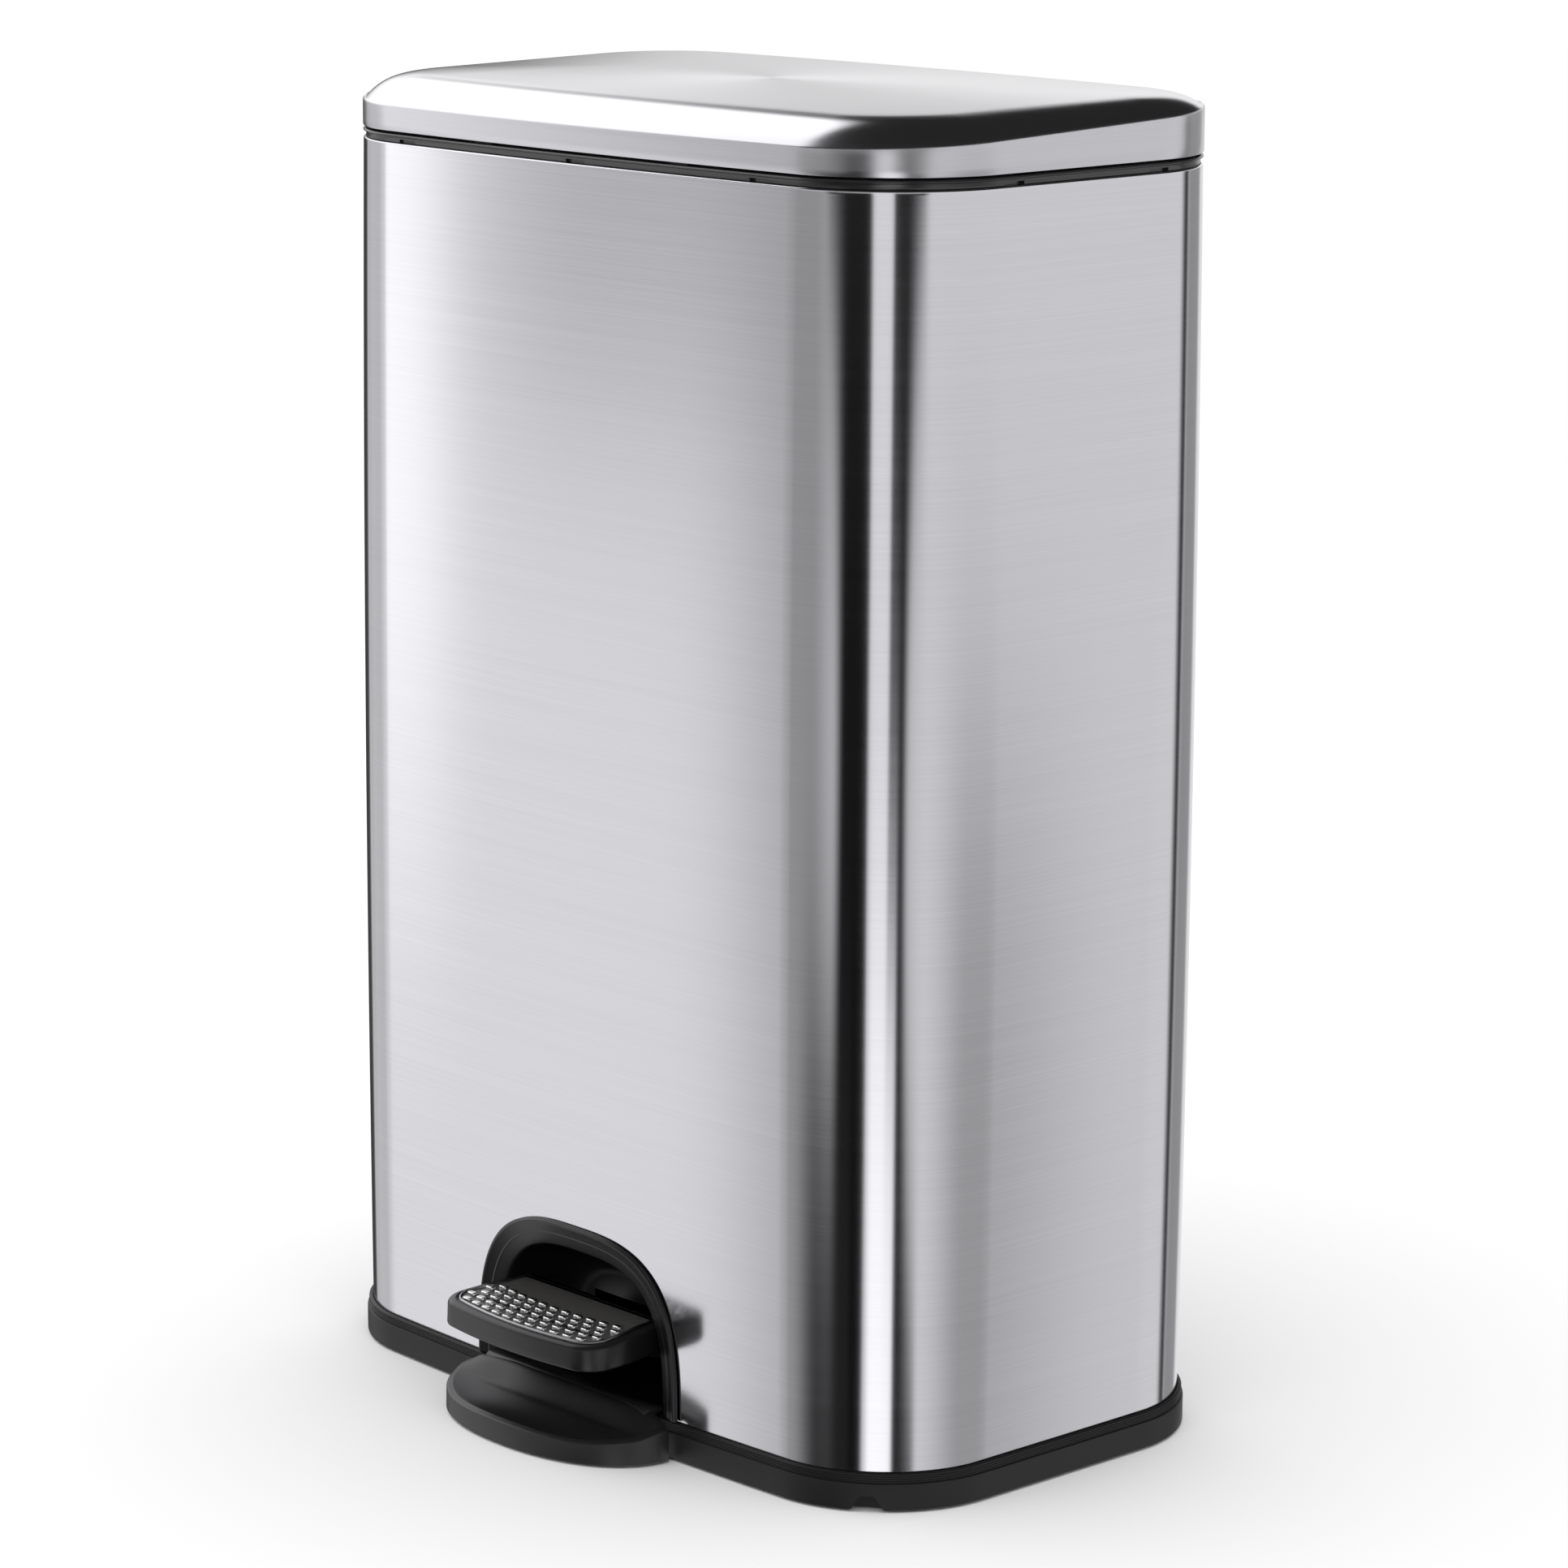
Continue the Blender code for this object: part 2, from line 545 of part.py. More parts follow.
def pad_plan(inset, back=PAD_BACK):
    """The pad's plan: sides that draw in at the back, rounded front corners, a bowed front."""
    half, front, radius = PAD_HALF_WIDTH - inset, PAD_FRONT + inset, PAD_CORNER - inset * 0.5
    steps = 12
    side = [(half - PAD_NECK, back), (half - PAD_NECK * 0.75, back - 0.012), (half, back - 0.030)]
    points = [(-x, y) for x, y in side]
    points += circle((-half + radius, front + radius), radius, 6, pi, pi / 2)
    start = points[-1][0]
    points += [(start - 2 * start * i / steps, front) for i in range(1, steps)]
    points += circle((half - radius, front + radius), radius, 6, 1.5 * pi, pi / 2)
    points += side[::-1]
    shaped = []
    for x, y in points:
        weight = min(max((front + radius - y) / radius, 0.0), 1.0)
        shaped.append((x, y - PAD_BOW * (1 - (x / half) ** 2) * weight))
    return shaped


def pad_ring(inset, height, slope=0.0, back=PAD_BACK):
    return [(x, y, height + slope * (y + 0.15)) for x, y in pad_plan(inset, back)]


def pedal_pad(slot, axis):
    rings = [pad_ring(0.0010, PAD_BOTTOM), pad_ring(0.0, PAD_BOTTOM + 0.001),
             pad_ring(0.0, PAD_TOP - 0.0020, PAD_SLOPE), pad_ring(0.0007, PAD_TOP - 0.0004, PAD_SLOPE),
             pad_ring(0.0022, PAD_TOP + 0.0008, PAD_SLOPE), pad_ring(0.0040, PAD_TOP + 0.0011, PAD_SLOPE)]
    pad = finish("pedal_pad", loft(rings), slot, axis, smooth=50)
    sole = block((-0.0218, -0.1500, 0.040), (0.0218, -0.1000, 0.0500))
    boolean(pad, finish("cut_pad_sole", sole, slot, axis.parent))
    back = PAD_BACK - 0.0040
    bed = [pad_ring(TREAD_BORDER, PAD_TOP + rise, PAD_SLOPE, back) for rise in (-0.0002, 0.0060)]
    return boolean(pad, finish("cut_tread_bed", loft(bed), slot, axis.parent))


def pedal_tread(slot, axis):
    back = PAD_BACK - 0.0040 - GAP
    section = [(GAP, 0.0001), (GAP, 0.0015), (0.0012, 0.0020)]
    rings = [pad_ring(TREAD_BORDER + inset, PAD_TOP + rise, PAD_SLOPE, back) for inset, rise in section]
    return finish("pedal_tread", loft(rings), slot, axis)


LEVER_LINE = [(-0.1480, 0.0480), (-0.1130, 0.0480), (-0.1060, 0.0462), (-0.0740, 0.0322),
              (-0.0660, 0.0300), (0.0150, 0.0300), (0.0950, 0.0330), (0.1040, 0.0333)]


def strip_outline(line, thickness):
    """A bent strip's side view about its centre line."""
    half = thickness / 2
    upper, lower = [], []
    for i, (y, z) in enumerate(line):
        before, after = line[max(i - 1, 0)], line[min(i + 1, len(line) - 1)]
        turn = atan2(after[1] - before[1], after[0] - before[0])
        upper.append((y - half * sin(turn), z + half * cos(turn)))
        lower.append((y + half * sin(turn), z - half * cos(turn)))
    return upper + lower[::-1]


def pedal_lever(slot, axis):
    front = strip_outline(LEVER_LINE[:6], 0.003)
    lever = finish("pedal_lever", prism(front, "x", -0.0210, 0.0210), slot, axis)
    tail = strip_outline(LEVER_LINE[4:], 0.003)
    boolean(lever, finish("add_lever_tail", prism(tail, "x", -0.0090, 0.0090), slot, axis.parent), "UNION")
    flange = [(-0.1080, 0.0465), (-0.0740, 0.0325), (-0.0660, 0.0300), (0.0080, 0.0300),
              (0.0040, 0.0190), (-0.0140, 0.0190), (-0.0300, 0.0235), (-0.0700, 0.0245), (-0.1060, 0.0360)]
    for side in (-1, 1):
        near, far = sorted((side * 0.0190, side * 0.0210))
        boolean(lever, finish(f"add_flange_{side}", prism(flange, "x", near, far), slot, axis.parent), "UNION")
    tab = [(0.0960, 0.0330), (0.1040, 0.0430), (0.1160, 0.0430), (0.1192, 0.0400), (0.1192, 0.0315),
           (0.0980, 0.0300)]
    boolean(lever, finish("add_rod_tab", prism(tab, "x", -0.0030, 0.0030), slot, axis.parent), "UNION")
    axle_hole = rod("x", (AXLE_Y, AXLE_Z), AXLE_RADIUS + GAP, -0.05, 0.05)
    boolean(lever, finish("cut_lever_axle", axle_hole, slot, axis.parent))
    rod_slot = prism(stadium((ROD_LOW_Y - 0.0002, ROD_LOW_Z), (ROD_LOW_Y + 0.0040, ROD_LOW_Z - 0.0005), 0.0031),
                     "x", -0.01, 0.01)
    return boolean(lever, finish("cut_rod_slot", rod_slot, slot, axis.parent))


# ---------------------------------------------------------------- lift rod

def rod_route():
    """Bottom hook, straight run, set-back bend near the top, and the top hook, all at ROD_X."""
    route = [(-0.0065, ROD_LOW_Y, ROD_LOW_Z)]
    for i in range(6):
        turn = pi / 2 * i / 5
        route.append((ROD_X - ROD_BEND + ROD_BEND * sin(turn), ROD_LOW_Y,
                      ROD_LOW_Z + ROD_BEND - ROD_BEND * cos(turn)))
    low, high = 0.518, 0.550
    for i in range(11):
        t = i / 10
        shift = (ROD_HIGH_Y - ROD_LOW_Y) * (3 * t ** 2 - 2 * t ** 3)
        route.append((ROD_X, ROD_LOW_Y + shift, low + (high - low) * t))
    for i in range(6):
        turn = pi / 2 * i / 5
        route.append((ROD_X - ROD_BEND + ROD_BEND * cos(turn), ROD_HIGH_Y,
                      ROD_HIGH_Z - ROD_BEND + ROD_BEND * sin(turn)))
    route.append((-0.0065, ROD_HIGH_Y, ROD_HIGH_Z))
    return route


def lift_rod(slot, axis):
    curve = bpy.data.curves.new("lift_rod", "CURVE")
    curve.dimensions = "3D"
    curve.bevel_depth = ROD_RADIUS
    curve.bevel_resolution = 3
    curve.use_fill_caps = True
    route = rod_route()
    spline = curve.splines.new("POLY")
    spline.points.add(len(route) - 1)
    for point, spot in zip(spline.points, route):
        point.co = (*spot, 1.0)
    curve.materials.append(slot)
    made = bpy.data.objects.new("lift_rod", curve)
    bpy.context.scene.collection.objects.link(made)
    made.parent = axis
    made.location = -axis.location
    return made


# ---------------------------------------------------------------- assembly

def build():
    clear_scene()
    root = empty("can_root", (0.0, ROOT_SHIFT, 0.0))
    lid_axis = empty("lid_hinge_axis", (0.0, HINGE_Y, HINGE_Z), root)
    pedal_axis = empty("pedal_axis", (0.0, AXLE_Y, AXLE_Z), root)
    rod_axis = empty("lift_rod_axis", (ROD_X, ROD_LOW_Y, ROD_LOW_Z), root)

    steel = material("brushed_steel", (0.62, 0.62, 0.64), 0.32, 1.0)
    black = material("satin_black", (0.025, 0.025, 0.028), 0.42)
    grey = material("bucket_plastic", (0.10, 0.10, 0.105), 0.55)
    rubber = material("tread_rubber", (0.03, 0.03, 0.03), 0.65)
    zinc = material("plated_steel", (0.48, 0.48, 0.50), 0.38, 1.0)

    shell = body_shell(steel, root)
    rim_ring(black, root)
    base = base_ring(black, root)
    pan = base_pan(black, root)
    pedal_housing(black, root)
    toe_guard(black, root)
    rear_cover(black, root)
    bracket = hinge_bracket(zinc, root)
    hinge_pin(zinc, root)
    channel = axle_bracket(zinc, root)
    pedal_axle(zinc, root)
    axle_clips(zinc, root)
    rod_guides(black, root)
    inner_bucket(grey, root)
    feet(rubber, root)

    lid_shell(steel, lid_axis)
    liner = lid_liner(black, lid_axis)
    plate = lid_hinge_plate(zinc, lid_axis)
    lid_bumpers(rubber, lid_axis)

    lever = pedal_lever(zinc, pedal_axis)
    pad = pedal_pad(black, pedal_axis)
    pedal_tread(rubber, pedal_axis)
    lift_rod(zinc, rod_axis)

    for name, x, y in corners(HALF_WIDTH - 0.0078, 0.040):
        drill((pan, base), "pan_hole_" + name, "z", (x, y), -0.01, 0.02, black, root)
        screw("pan_screw_" + name, (x, y), "z", 0.0022, PAN_TOP + GAP, PAN_TOP + 0.0023, zinc, root)
    for name, y in (("front", -0.019), ("rear", 0.009)):
        drill((pan, channel), "axle_screw_hole_" + name, "z", (0.0, y), 0.0, 0.02, black, root)
        screw("axle_screw_" + name, (0.0, y), "z", 0.0060, 0.0154, 0.0174, zinc, root)
    for name, x, z in (("lower_left", -0.045, 0.538), ("lower_right", 0.045, 0.538),
                       ("upper_left", -0.045, 0.562), ("upper_right", 0.045, 0.562)):
        drill((shell, bracket), "bracket_hole_" + name, "y", (x, z), 0.10, 0.14, zinc, root)
        screw("bracket_screw_" + name, (x, z), "y", 0.1290, 0.1200, 0.1180, zinc, root)
    for name, x in (("outer_left", -0.048), ("inner_left", -0.020),
                    ("inner_right", 0.020), ("outer_right", 0.048)):
        drill((liner, plate), "lid_hole_" + name, "z", (x, 0.1080), 0.59, 0.6092, black, root)
        screw("lid_screw_" + name, (x, 0.1080), "z", 0.6088, 0.6051, 0.6031, zinc, lid_axis)
    for name, x in (("left", -0.012), ("right", 0.012)):
        drill((lever, pad), "pad_hole_" + name, "z", (x, -0.1380), 0.03, 0.0558, black, root)
        screw("pad_screw_" + name, (x, -0.1380), "z", 0.0552, 0.0462, 0.0446, zinc, pedal_axis)


build()
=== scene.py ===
# Looks of the pedal trash can: brushed steel wrap and lid, black mouldings, and the pedal with
# its bright tread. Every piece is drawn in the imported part's own metres.
from math import cos, pi, radians, sin

import bmesh
import bpy
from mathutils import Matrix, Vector


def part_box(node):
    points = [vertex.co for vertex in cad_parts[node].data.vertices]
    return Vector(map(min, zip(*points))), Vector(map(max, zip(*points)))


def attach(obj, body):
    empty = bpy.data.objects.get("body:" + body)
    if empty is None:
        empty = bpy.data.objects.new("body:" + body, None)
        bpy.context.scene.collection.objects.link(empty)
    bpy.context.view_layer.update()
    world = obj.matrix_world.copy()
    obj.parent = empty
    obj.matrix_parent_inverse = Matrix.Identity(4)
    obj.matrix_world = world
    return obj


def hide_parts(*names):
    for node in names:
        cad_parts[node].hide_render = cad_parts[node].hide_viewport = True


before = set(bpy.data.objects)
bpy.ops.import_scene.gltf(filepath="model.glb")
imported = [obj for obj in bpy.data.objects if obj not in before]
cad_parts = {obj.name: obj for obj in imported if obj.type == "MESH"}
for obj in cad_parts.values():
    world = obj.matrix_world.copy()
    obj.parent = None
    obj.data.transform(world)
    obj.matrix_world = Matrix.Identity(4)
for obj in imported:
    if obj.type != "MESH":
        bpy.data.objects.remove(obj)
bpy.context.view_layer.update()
print("frame:", len(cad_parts), "nodes")

baseLow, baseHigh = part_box("base_ring")
shellLow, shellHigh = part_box("body_shell")
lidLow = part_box("lid_shell")[0]

plan = {
    "ledge": 0.003,           # how far the base stands out past the steel
    "faceBow": 0.008,         # the front and the back stand out this much at the middle
    "sideBow": 0.0006,
    "cornerRadius": 0.0597,
    "cornerSteps": 26,
    "faceSteps": 50,
    "sideSteps": 22,
}
gaps = {
    # openings that several pieces share: the one for the lift arm at the back, the finger gaps at
    # both ends of the bucket, and the ones in the lid's skirt and its lining for the hinge
    "armHalf": 0.013, "armFoot": 0.580, "fingerInner": 0.1868, "fingerHalf": 0.045, "fingerFoot": 0.56,
    "fingerTop": 0.59, "hingeHalf": 0.0625, "hingeFront": 0.105, "hingeBack": 0.14,
}
halfWidth = (baseHigh.x - baseLow.x) / 2 - plan["ledge"]
halfDepth = (baseHigh.y - baseLow.y) / 2 - plan["ledge"] - plan["faceBow"]
centreY = (baseHigh.y + baseLow.y) / 2
frontFace = -(halfDepth + plan["faceBow"])


def arc(centre, radius, steps, start, sweep):
    return [(centre[0] + radius * cos(start + sweep * i / steps),
             centre[1] + radius * sin(start + sweep * i / steps)) for i in range(steps + 1)]


def canPlan(inset):
    # the can's outline drawn in by inset, anticlockwise from the near right corner
    halfX, halfY = halfWidth - inset, halfDepth - inset
    radius = max(plan["cornerRadius"] - inset, 0.004)
    points = []
    for turn, (sideX, sideY) in enumerate(((1, -1), (1, 1), (-1, 1), (-1, -1))):
        centre = (sideX * (halfX - radius), sideY * (halfY - radius))
        points += arc(centre, radius, plan["cornerSteps"], (turn - 1) * pi / 2, pi / 2)
        x, y = points[-1]
        steps = plan["faceSteps"] if turn in (1, 3) else plan["sideSteps"]
        for i in range(1, steps):
            t = i / steps
            points.append((x - 2 * x * t, y) if turn in (1, 3) else (x, y - 2 * y * t))
    return [bowed(x, y, halfX, halfY) for x, y in points]


def bowed(x, y, halfX, halfY):
    outY = plan["faceBow"] * (1 - (x / halfX) ** 2) * (y / halfY) ** 2
    outX = plan["sideBow"] * (1 - (y / halfY) ** 2) * (x / halfX) ** 2
    return (x + (outX if x > 0 else -outX), y + (outY if y > 0 else -outY))


def canRing(inset, height):
    # height is one level, or a function of y
    return [(x, y, height(y) if callable(height) else height) for x, y in canPlan(inset)]


def frontY(x):
    return -(halfDepth + plan["faceBow"] * (1 - (x / halfWidth) ** 2))


def skin(rings, loop=False, closed=True, caps=True):
    # joins rings of equal length; closed rings run round, open ones are strips
    mesh = bmesh.new()
    rows = [[mesh.verts.new(point) for point in ring] for ring in rings]
    for low, high in list(zip(rows, rows[1:])) + ([(rows[-1], rows[0])] if loop else []):
        count = len(low)
        for i in range(count if closed else count - 1):
            j = (i + 1) % count
            mesh.faces.new((low[i], low[j], high[j], high[i]))
    if caps and not loop:
        mesh.faces.new(rows[0])
        mesh.faces.new(rows[-1])
    return mesh


def block(low, high):
    (x0, y0, z0), (x1, y1, z1) = low, high
    return skin([[(x0, y0, z), (x1, y0, z), (x1, y1, z), (x0, y1, z)] for z in (z0, z1)])


def solid(name, mesh, finish=None):
    # meshes are drawn about the can's own centre line, and stand at centreY in the frame
    bmesh.ops.recalc_face_normals(mesh, faces=mesh.faces)
    bmesh.ops.translate(mesh, verts=mesh.verts, vec=(0, centreY, 0))
    data = bpy.data.meshes.new(name)
    mesh.to_mesh(data)
    mesh.free()
    made = bpy.data.objects.new(name, data)
    bpy.context.scene.collection.objects.link(made)
    if finish:
        data.materials.append(finish)
    return made


def carve(made, mesh):
    tool = solid("tool", mesh)
    step = made.modifiers.new("carve", "BOOLEAN")
    step.operation = "DIFFERENCE"
    step.solver = "EXACT"
    step.object = tool
    settle(made)
    bpy.data.objects.remove(tool, do_unlink=True)


def soften(made, width, segments=3, angle=40):
    step = made.modifiers.new("soften", "BEVEL")
    step.width = width
    step.segments = segments
    step.limit_method = "ANGLE"
    step.angle_limit = radians(angle)
    settle(made)


def settle(made):
    # turns the modifiers into plain mesh
    graph = bpy.context.evaluated_depsgraph_get()
    settled = bpy.data.meshes.new_from_object(made.evaluated_get(graph))
    made.modifiers.clear()
    made.data = settled


def fit(made, body, slotName, *nodes, sharp=35):
    made.data.shade_smooth()
    made.data.set_sharp_from_angle(angle=radians(sharp))
    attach(made, body)
    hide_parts(*nodes)
    return made


class Wire:
    # one socket, with arithmetic that adds the nodes

    def __init__(self, tree, socket=None):
        self.tree = tree
        self.socket = socket

    def node(self, kind, settings=None, sockets=None, output=0):
        made = self.tree.nodes.new(kind)
        for key, value in (settings or {}).items():
            if key == "stops":
                ramp = made.color_ramp.elements
                while len(ramp) < len(value):
                    ramp.new(0.5)
                for stop, (place, colour) in zip(ramp, value):
                    stop.position = place
                    stop.color = colour
            else:
                setattr(made, key, value)
        for key, value in (sockets or {}).items():
            self.feed(made.inputs[key], value)
        return Wire(self.tree, made.outputs[output])

    def feed(self, socket, value):
        if isinstance(value, Wire):
            self.tree.links.new(value.socket, socket)
        else:
            socket.default_value = value

    def sum(self, operation, left, right):
        vector = any(isinstance(v, tuple) or (isinstance(v, Wire) and v.socket.type == "VECTOR")
                     for v in (left, right))
        if vector:
            left, right = [(v, v, v) if isinstance(v, (int, float)) else v for v in (left, right)]
            return self.node("ShaderNodeVectorMath", {"operation": operation}, {0: left, 1: right})
        return self.node("ShaderNodeMath", {"operation": operation}, {0: left, 1: right})

    def __add__(self, other):
        return self.sum("ADD", self, other)

    def __radd__(self, other):
        return self.sum("ADD", other, self)

    def __sub__(self, other):
        return self.sum("SUBTRACT", self, other)

    def __rsub__(self, other):
        return self.sum("SUBTRACT", other, self)

    def __mul__(self, other):
        return self.sum("MULTIPLY", self, other)

    def __rmul__(self, other):
        return self.sum("MULTIPLY", other, self)

    def __truediv__(self, other):
        return self.sum("DIVIDE", self, other)

    def smooth(self, low, high):
        return self.node("ShaderNodeMapRange", {"interpolation_type": "SMOOTHSTEP"},
                         {0: self, 1: low, 2: high})

    def noise(self, scale, detail=2.0, roughness=0.5):
        return self.node("ShaderNodeTexNoise", {},
                         {"Vector": self, "Scale": scale, "Detail": detail, "Roughness": roughness})

    def blend(self, first, second):
        # a colour between two others, self being the amount
        return self.node("ShaderNodeMix", {"data_type": "RGBA"}, {0: self, 6: first, 7: second}, 2)

    def split(self, axis):
        return self.node("ShaderNodeSeparateXYZ", {}, {0: self}, axis)


def shader(name):
    made = bpy.data.materials.new(name)
    made.use_nodes = True
    return made, made.node_tree.nodes["Principled BSDF"], Wire(made.node_tree)


def place(bench):
    return bench.node("ShaderNodeTexCoord", output="Object")


brushed = {
    "dark": (0.600, 0.596, 0.624, 1), "light": (0.705, 0.700, 0.732, 1),
    "roughness": 0.105, "grain": 0.04, "haze": 0.015,
    "along": 6.0, "across": 1500.0, "broadAlong": 2.2, "broadAcross": 170.0,
    "anisotropy": 0.62, "relief": 0.05, "reliefDepth": 0.00008,
    "levelFrom": 0.55, "levelTo": 0.85, "levelGloss": 0.13,    # the near level part of the lid is glossier
}


def brushedSteel(name, roughness, crown=False):
    # lines run level round the wall; on a crown they run from side to side
    made, skinShader, bench = shader(name)
    spot = place(bench)
    b = brushed
    fine = (spot * (b["along"], b["along"], b["across"])).noise(1.0, 3.0, 0.6)
    broad = (spot * (b["broadAlong"], b["broadAlong"], b["broadAcross"])).noise(1.0, 2.0)
    if crown:
        top = bench.node("ShaderNodeNewGeometry", output="Normal").split(2)
        top = top.smooth(b["levelFrom"], b["levelTo"])
        fineTop = (spot * (b["along"], b["across"], b["along"])).noise(1.0, 3.0, 0.6)
        broadTop = (spot * (b["broadAlong"], b["broadAcross"], b["broadAlong"])).noise(1.0, 2.0)
        fine = fine * (1 - top) + fineTop * top
        broad = broad * (1 - top) + broadTop * top
        roughness = roughness - top * b["levelGloss"]
    lines = fine * 0.65 + broad * 0.35
    haze = spot.noise(5.0, 3.0)
    bench.feed(skinShader.inputs["Base Color"], lines.blend(b["dark"], b["light"]))
    bench.feed(skinShader.inputs["Roughness"], roughness + lines * b["grain"] + haze * b["haze"])
    bump = bench.node("ShaderNodeBump", {}, {"Strength": b["relief"], "Distance": b["reliefDepth"],
                                             "Height": lines})
    bench.feed(skinShader.inputs["Normal"], bump)
    skinShader.inputs["Metallic"].default_value = 1.0
    skinShader.inputs["Anisotropic"].default_value = b["anisotropy"]
    skinShader.inputs["Anisotropic Rotation"].default_value = 0.25
    return made


def moulded(name, colour, roughness, grainScale=1500.0, grainDepth=0.00006, strength=0.25, spread=0.08,
             shine=0.38):
    # moulded plastic or rubber: a fine spark-eroded grain and slow changes of gloss
    made, skinShader, bench = shader(name)
    spot = place(bench)
    grain = spot.noise(grainScale, 2.0, 0.6)
    drift = spot.noise(14.0, 4.0, 0.6)
    dark = tuple(c * 0.75 for c in colour)
    light = tuple(c * 1.3 for c in colour)
    bench.feed(skinShader.inputs["Base Color"], (drift * 0.6 + grain * 0.4).blend((*dark, 1), (*light, 1)))
    gloss = (roughness - spread) + drift * spread * 1.4 + grain * spread * 0.6
    bench.feed(skinShader.inputs["Roughness"], gloss)
    bump = bench.node("ShaderNodeBump", {}, {"Strength": strength, "Distance": grainDepth, "Height": grain})
    bench.feed(skinShader.inputs["Normal"], bump)
    skinShader.inputs["Specular IOR Level"].default_value = shine
    return made


def platedSteel(name, colour, roughness, grain):
    made, skinShader, bench = shader(name)
    spot = place(bench)
    cloud = spot.noise(160.0, 4.0, 0.6)
    speck = spot.noise(1300.0, 2.0)
    light = tuple(min(c * 1.15, 1.0) for c in colour)
    bench.feed(skinShader.inputs["Base Color"], cloud.blend((*colour, 1), (*light, 1)))
    bench.feed(skinShader.inputs["Roughness"], roughness + cloud * grain + speck * grain * 0.5)
    bump = bench.node("ShaderNodeBump", {}, {"Strength": 0.08, "Distance": 0.00005, "Height": speck})
    bench.feed(skinShader.inputs["Normal"], bump)
    skinShader.inputs["Metallic"].default_value = 1.0
    return made


wallSteel = brushedSteel("wall_steel", brushed["roughness"])
lidSteel = brushedSteel("lid_steel", brushed["roughness"] + 0.17, crown=True)
baseBlack = moulded("base_black", (0.007, 0.007, 0.0075), 0.50)
satinBlack = moulded("satin_black", (0.006, 0.006, 0.0066), 0.33, strength=0.12, spread=0.06, shine=0.5)
trayBlack = moulded("tray_black", (0.008, 0.008, 0.0088), 0.42, strength=0.10, spread=0.05, shine=0.6)
rimBlack = moulded("rim_black", (0.012, 0.012, 0.013), 0.22, strength=0.08, spread=0.05, shine=0.7)
treadBlack = moulded("tread_black", (0.035, 0.034, 0.033), 0.34, grainScale=900.0, strength=0.4)
rubberBlack = moulded("rubber_black", (0.017, 0.017, 0.017), 0.68, grainScale=900.0, strength=0.35)
bucketGrey = moulded("bucket_grey", (0.060, 0.060, 0.064), 0.50, grainScale=700.0, strength=0.30, shine=0.45)
brightNub = platedSteel("bright_nub", (0.92, 0.92, 0.92), 0.20, 0.08)
edgeNickel = platedSteel("edge_nickel", (0.42, 0.42, 0.43), 0.24, 0.10)
zinc = platedSteel("zinc_plate", (0.52, 0.52, 0.53), 0.30, 0.16)
print("finishes made")


wrap = {"gauge": 0.001, "fold": 0.0009, "swell": 0.0015, "rows": 36, "archInset": 0.0062,
        "foldClear": 0.0012, "archFront": -0.16, "archBack": -0.10,
        "windowFront": 0.112, "windowBack": 0.130, "windowFoot": 0.512, "windowTop": 0.62}


def swellAt(z):
    t = (z - shellLow.z) / (shellHigh.z - shellLow.z)
    return 4 * wrap["swell"] * t * (1 - t)


def bodyWrap():
    low, high, fold = shellLow.z, shellHigh.z, wrap["fold"]
    levels = [low + (high - fold - low) * i / wrap["rows"] for i in range(wrap["rows"] + 1)]
    levels.insert(-1, levels[-1] - wrap["foldClear"])    # keeps the wall's shading straight up to the fold
    rings = [canRing(-swellAt(z), z) for z in levels]
    for i in range(1, 5):
        turn = pi / 2 * i / 4
        rings.append(canRing(fold * (1 - cos(turn)), high - fold + fold * sin(turn)))
    rings += [canRing(wrap["gauge"] - swellAt(z), z) for z in levels[::-1]]
    made = solid("steel_wrap", skin(rings, loop=True), wallSteel)
    outline = archOutline(wrap["archInset"])
    outline = [(outline[0][0], 0.0)] + outline + [(outline[-1][0], 0.0)]
    carve(made, skin([[(x, y, z) for x, z in outline] for y in (wrap["archFront"], wrap["archBack"])]))
    half = gaps["armHalf"]
    carve(made, block((-half, wrap["windowFront"], wrap["windowFoot"]),
                      (half, wrap["windowBack"], wrap["windowTop"])))
    return fit(made, "can", "brushed_steel", "body_shell")


arch = {"halfWidth": 0.0717, "height": 0.0786, "foot": 0.0188, "power": 3.02, "steps": 84,
        # inset from the arch's edge, distance behind the front face, and how flat the rib is
        "pocket": [(0.0340, 0.0353, 1), (0.0320, 0.0351, 1), (0.0298, 0.0343, 1), (0.0268, 0.0325, 1),
                   (0.0236, 0.0298, 1), (0.0206, 0.0262, 1), (0.0181, 0.0222, 1), (0.0163, 0.0180, 0.9),
                   (0.0150, 0.0130, 0.75), (0.0141, 0.0085, 0.55), (0.0136, 0.0050, 0.3),
                   (0.0133, 0.0028, 0.1)],
        "frame": [(0.0131, 0.0020, 0), (0.0127, 0.0015, 0), (0.0121, 0.0012, 0), (0.0098, 0.0003, 0),
                  (0.0065, -0.0009, 0), (0.0040, -0.0019, 0), (0.0024, -0.0026, 0)],
        "bead": [(0.0020, -0.0028), (0.0016, -0.0029), (0.0012, -0.00285), (0.0009, -0.0027),
                 (0.0007, -0.0024), (0.0005, -0.0022), (0.0002, -0.0021), (0.0, -0.0018), (0.0, -0.0010),
                 (0.0070, -0.0010)],
        "back": [(0.0080, 0.0080, 0.5), (0.0112, 0.0210, 1), (0.0196, 0.0322, 1), (0.0330, 0.0375, 1)],
        "gateHalf": 0.0275, "gateFront": -0.1000, "gateBack": -0.0700, "gateTop": 0.0530}


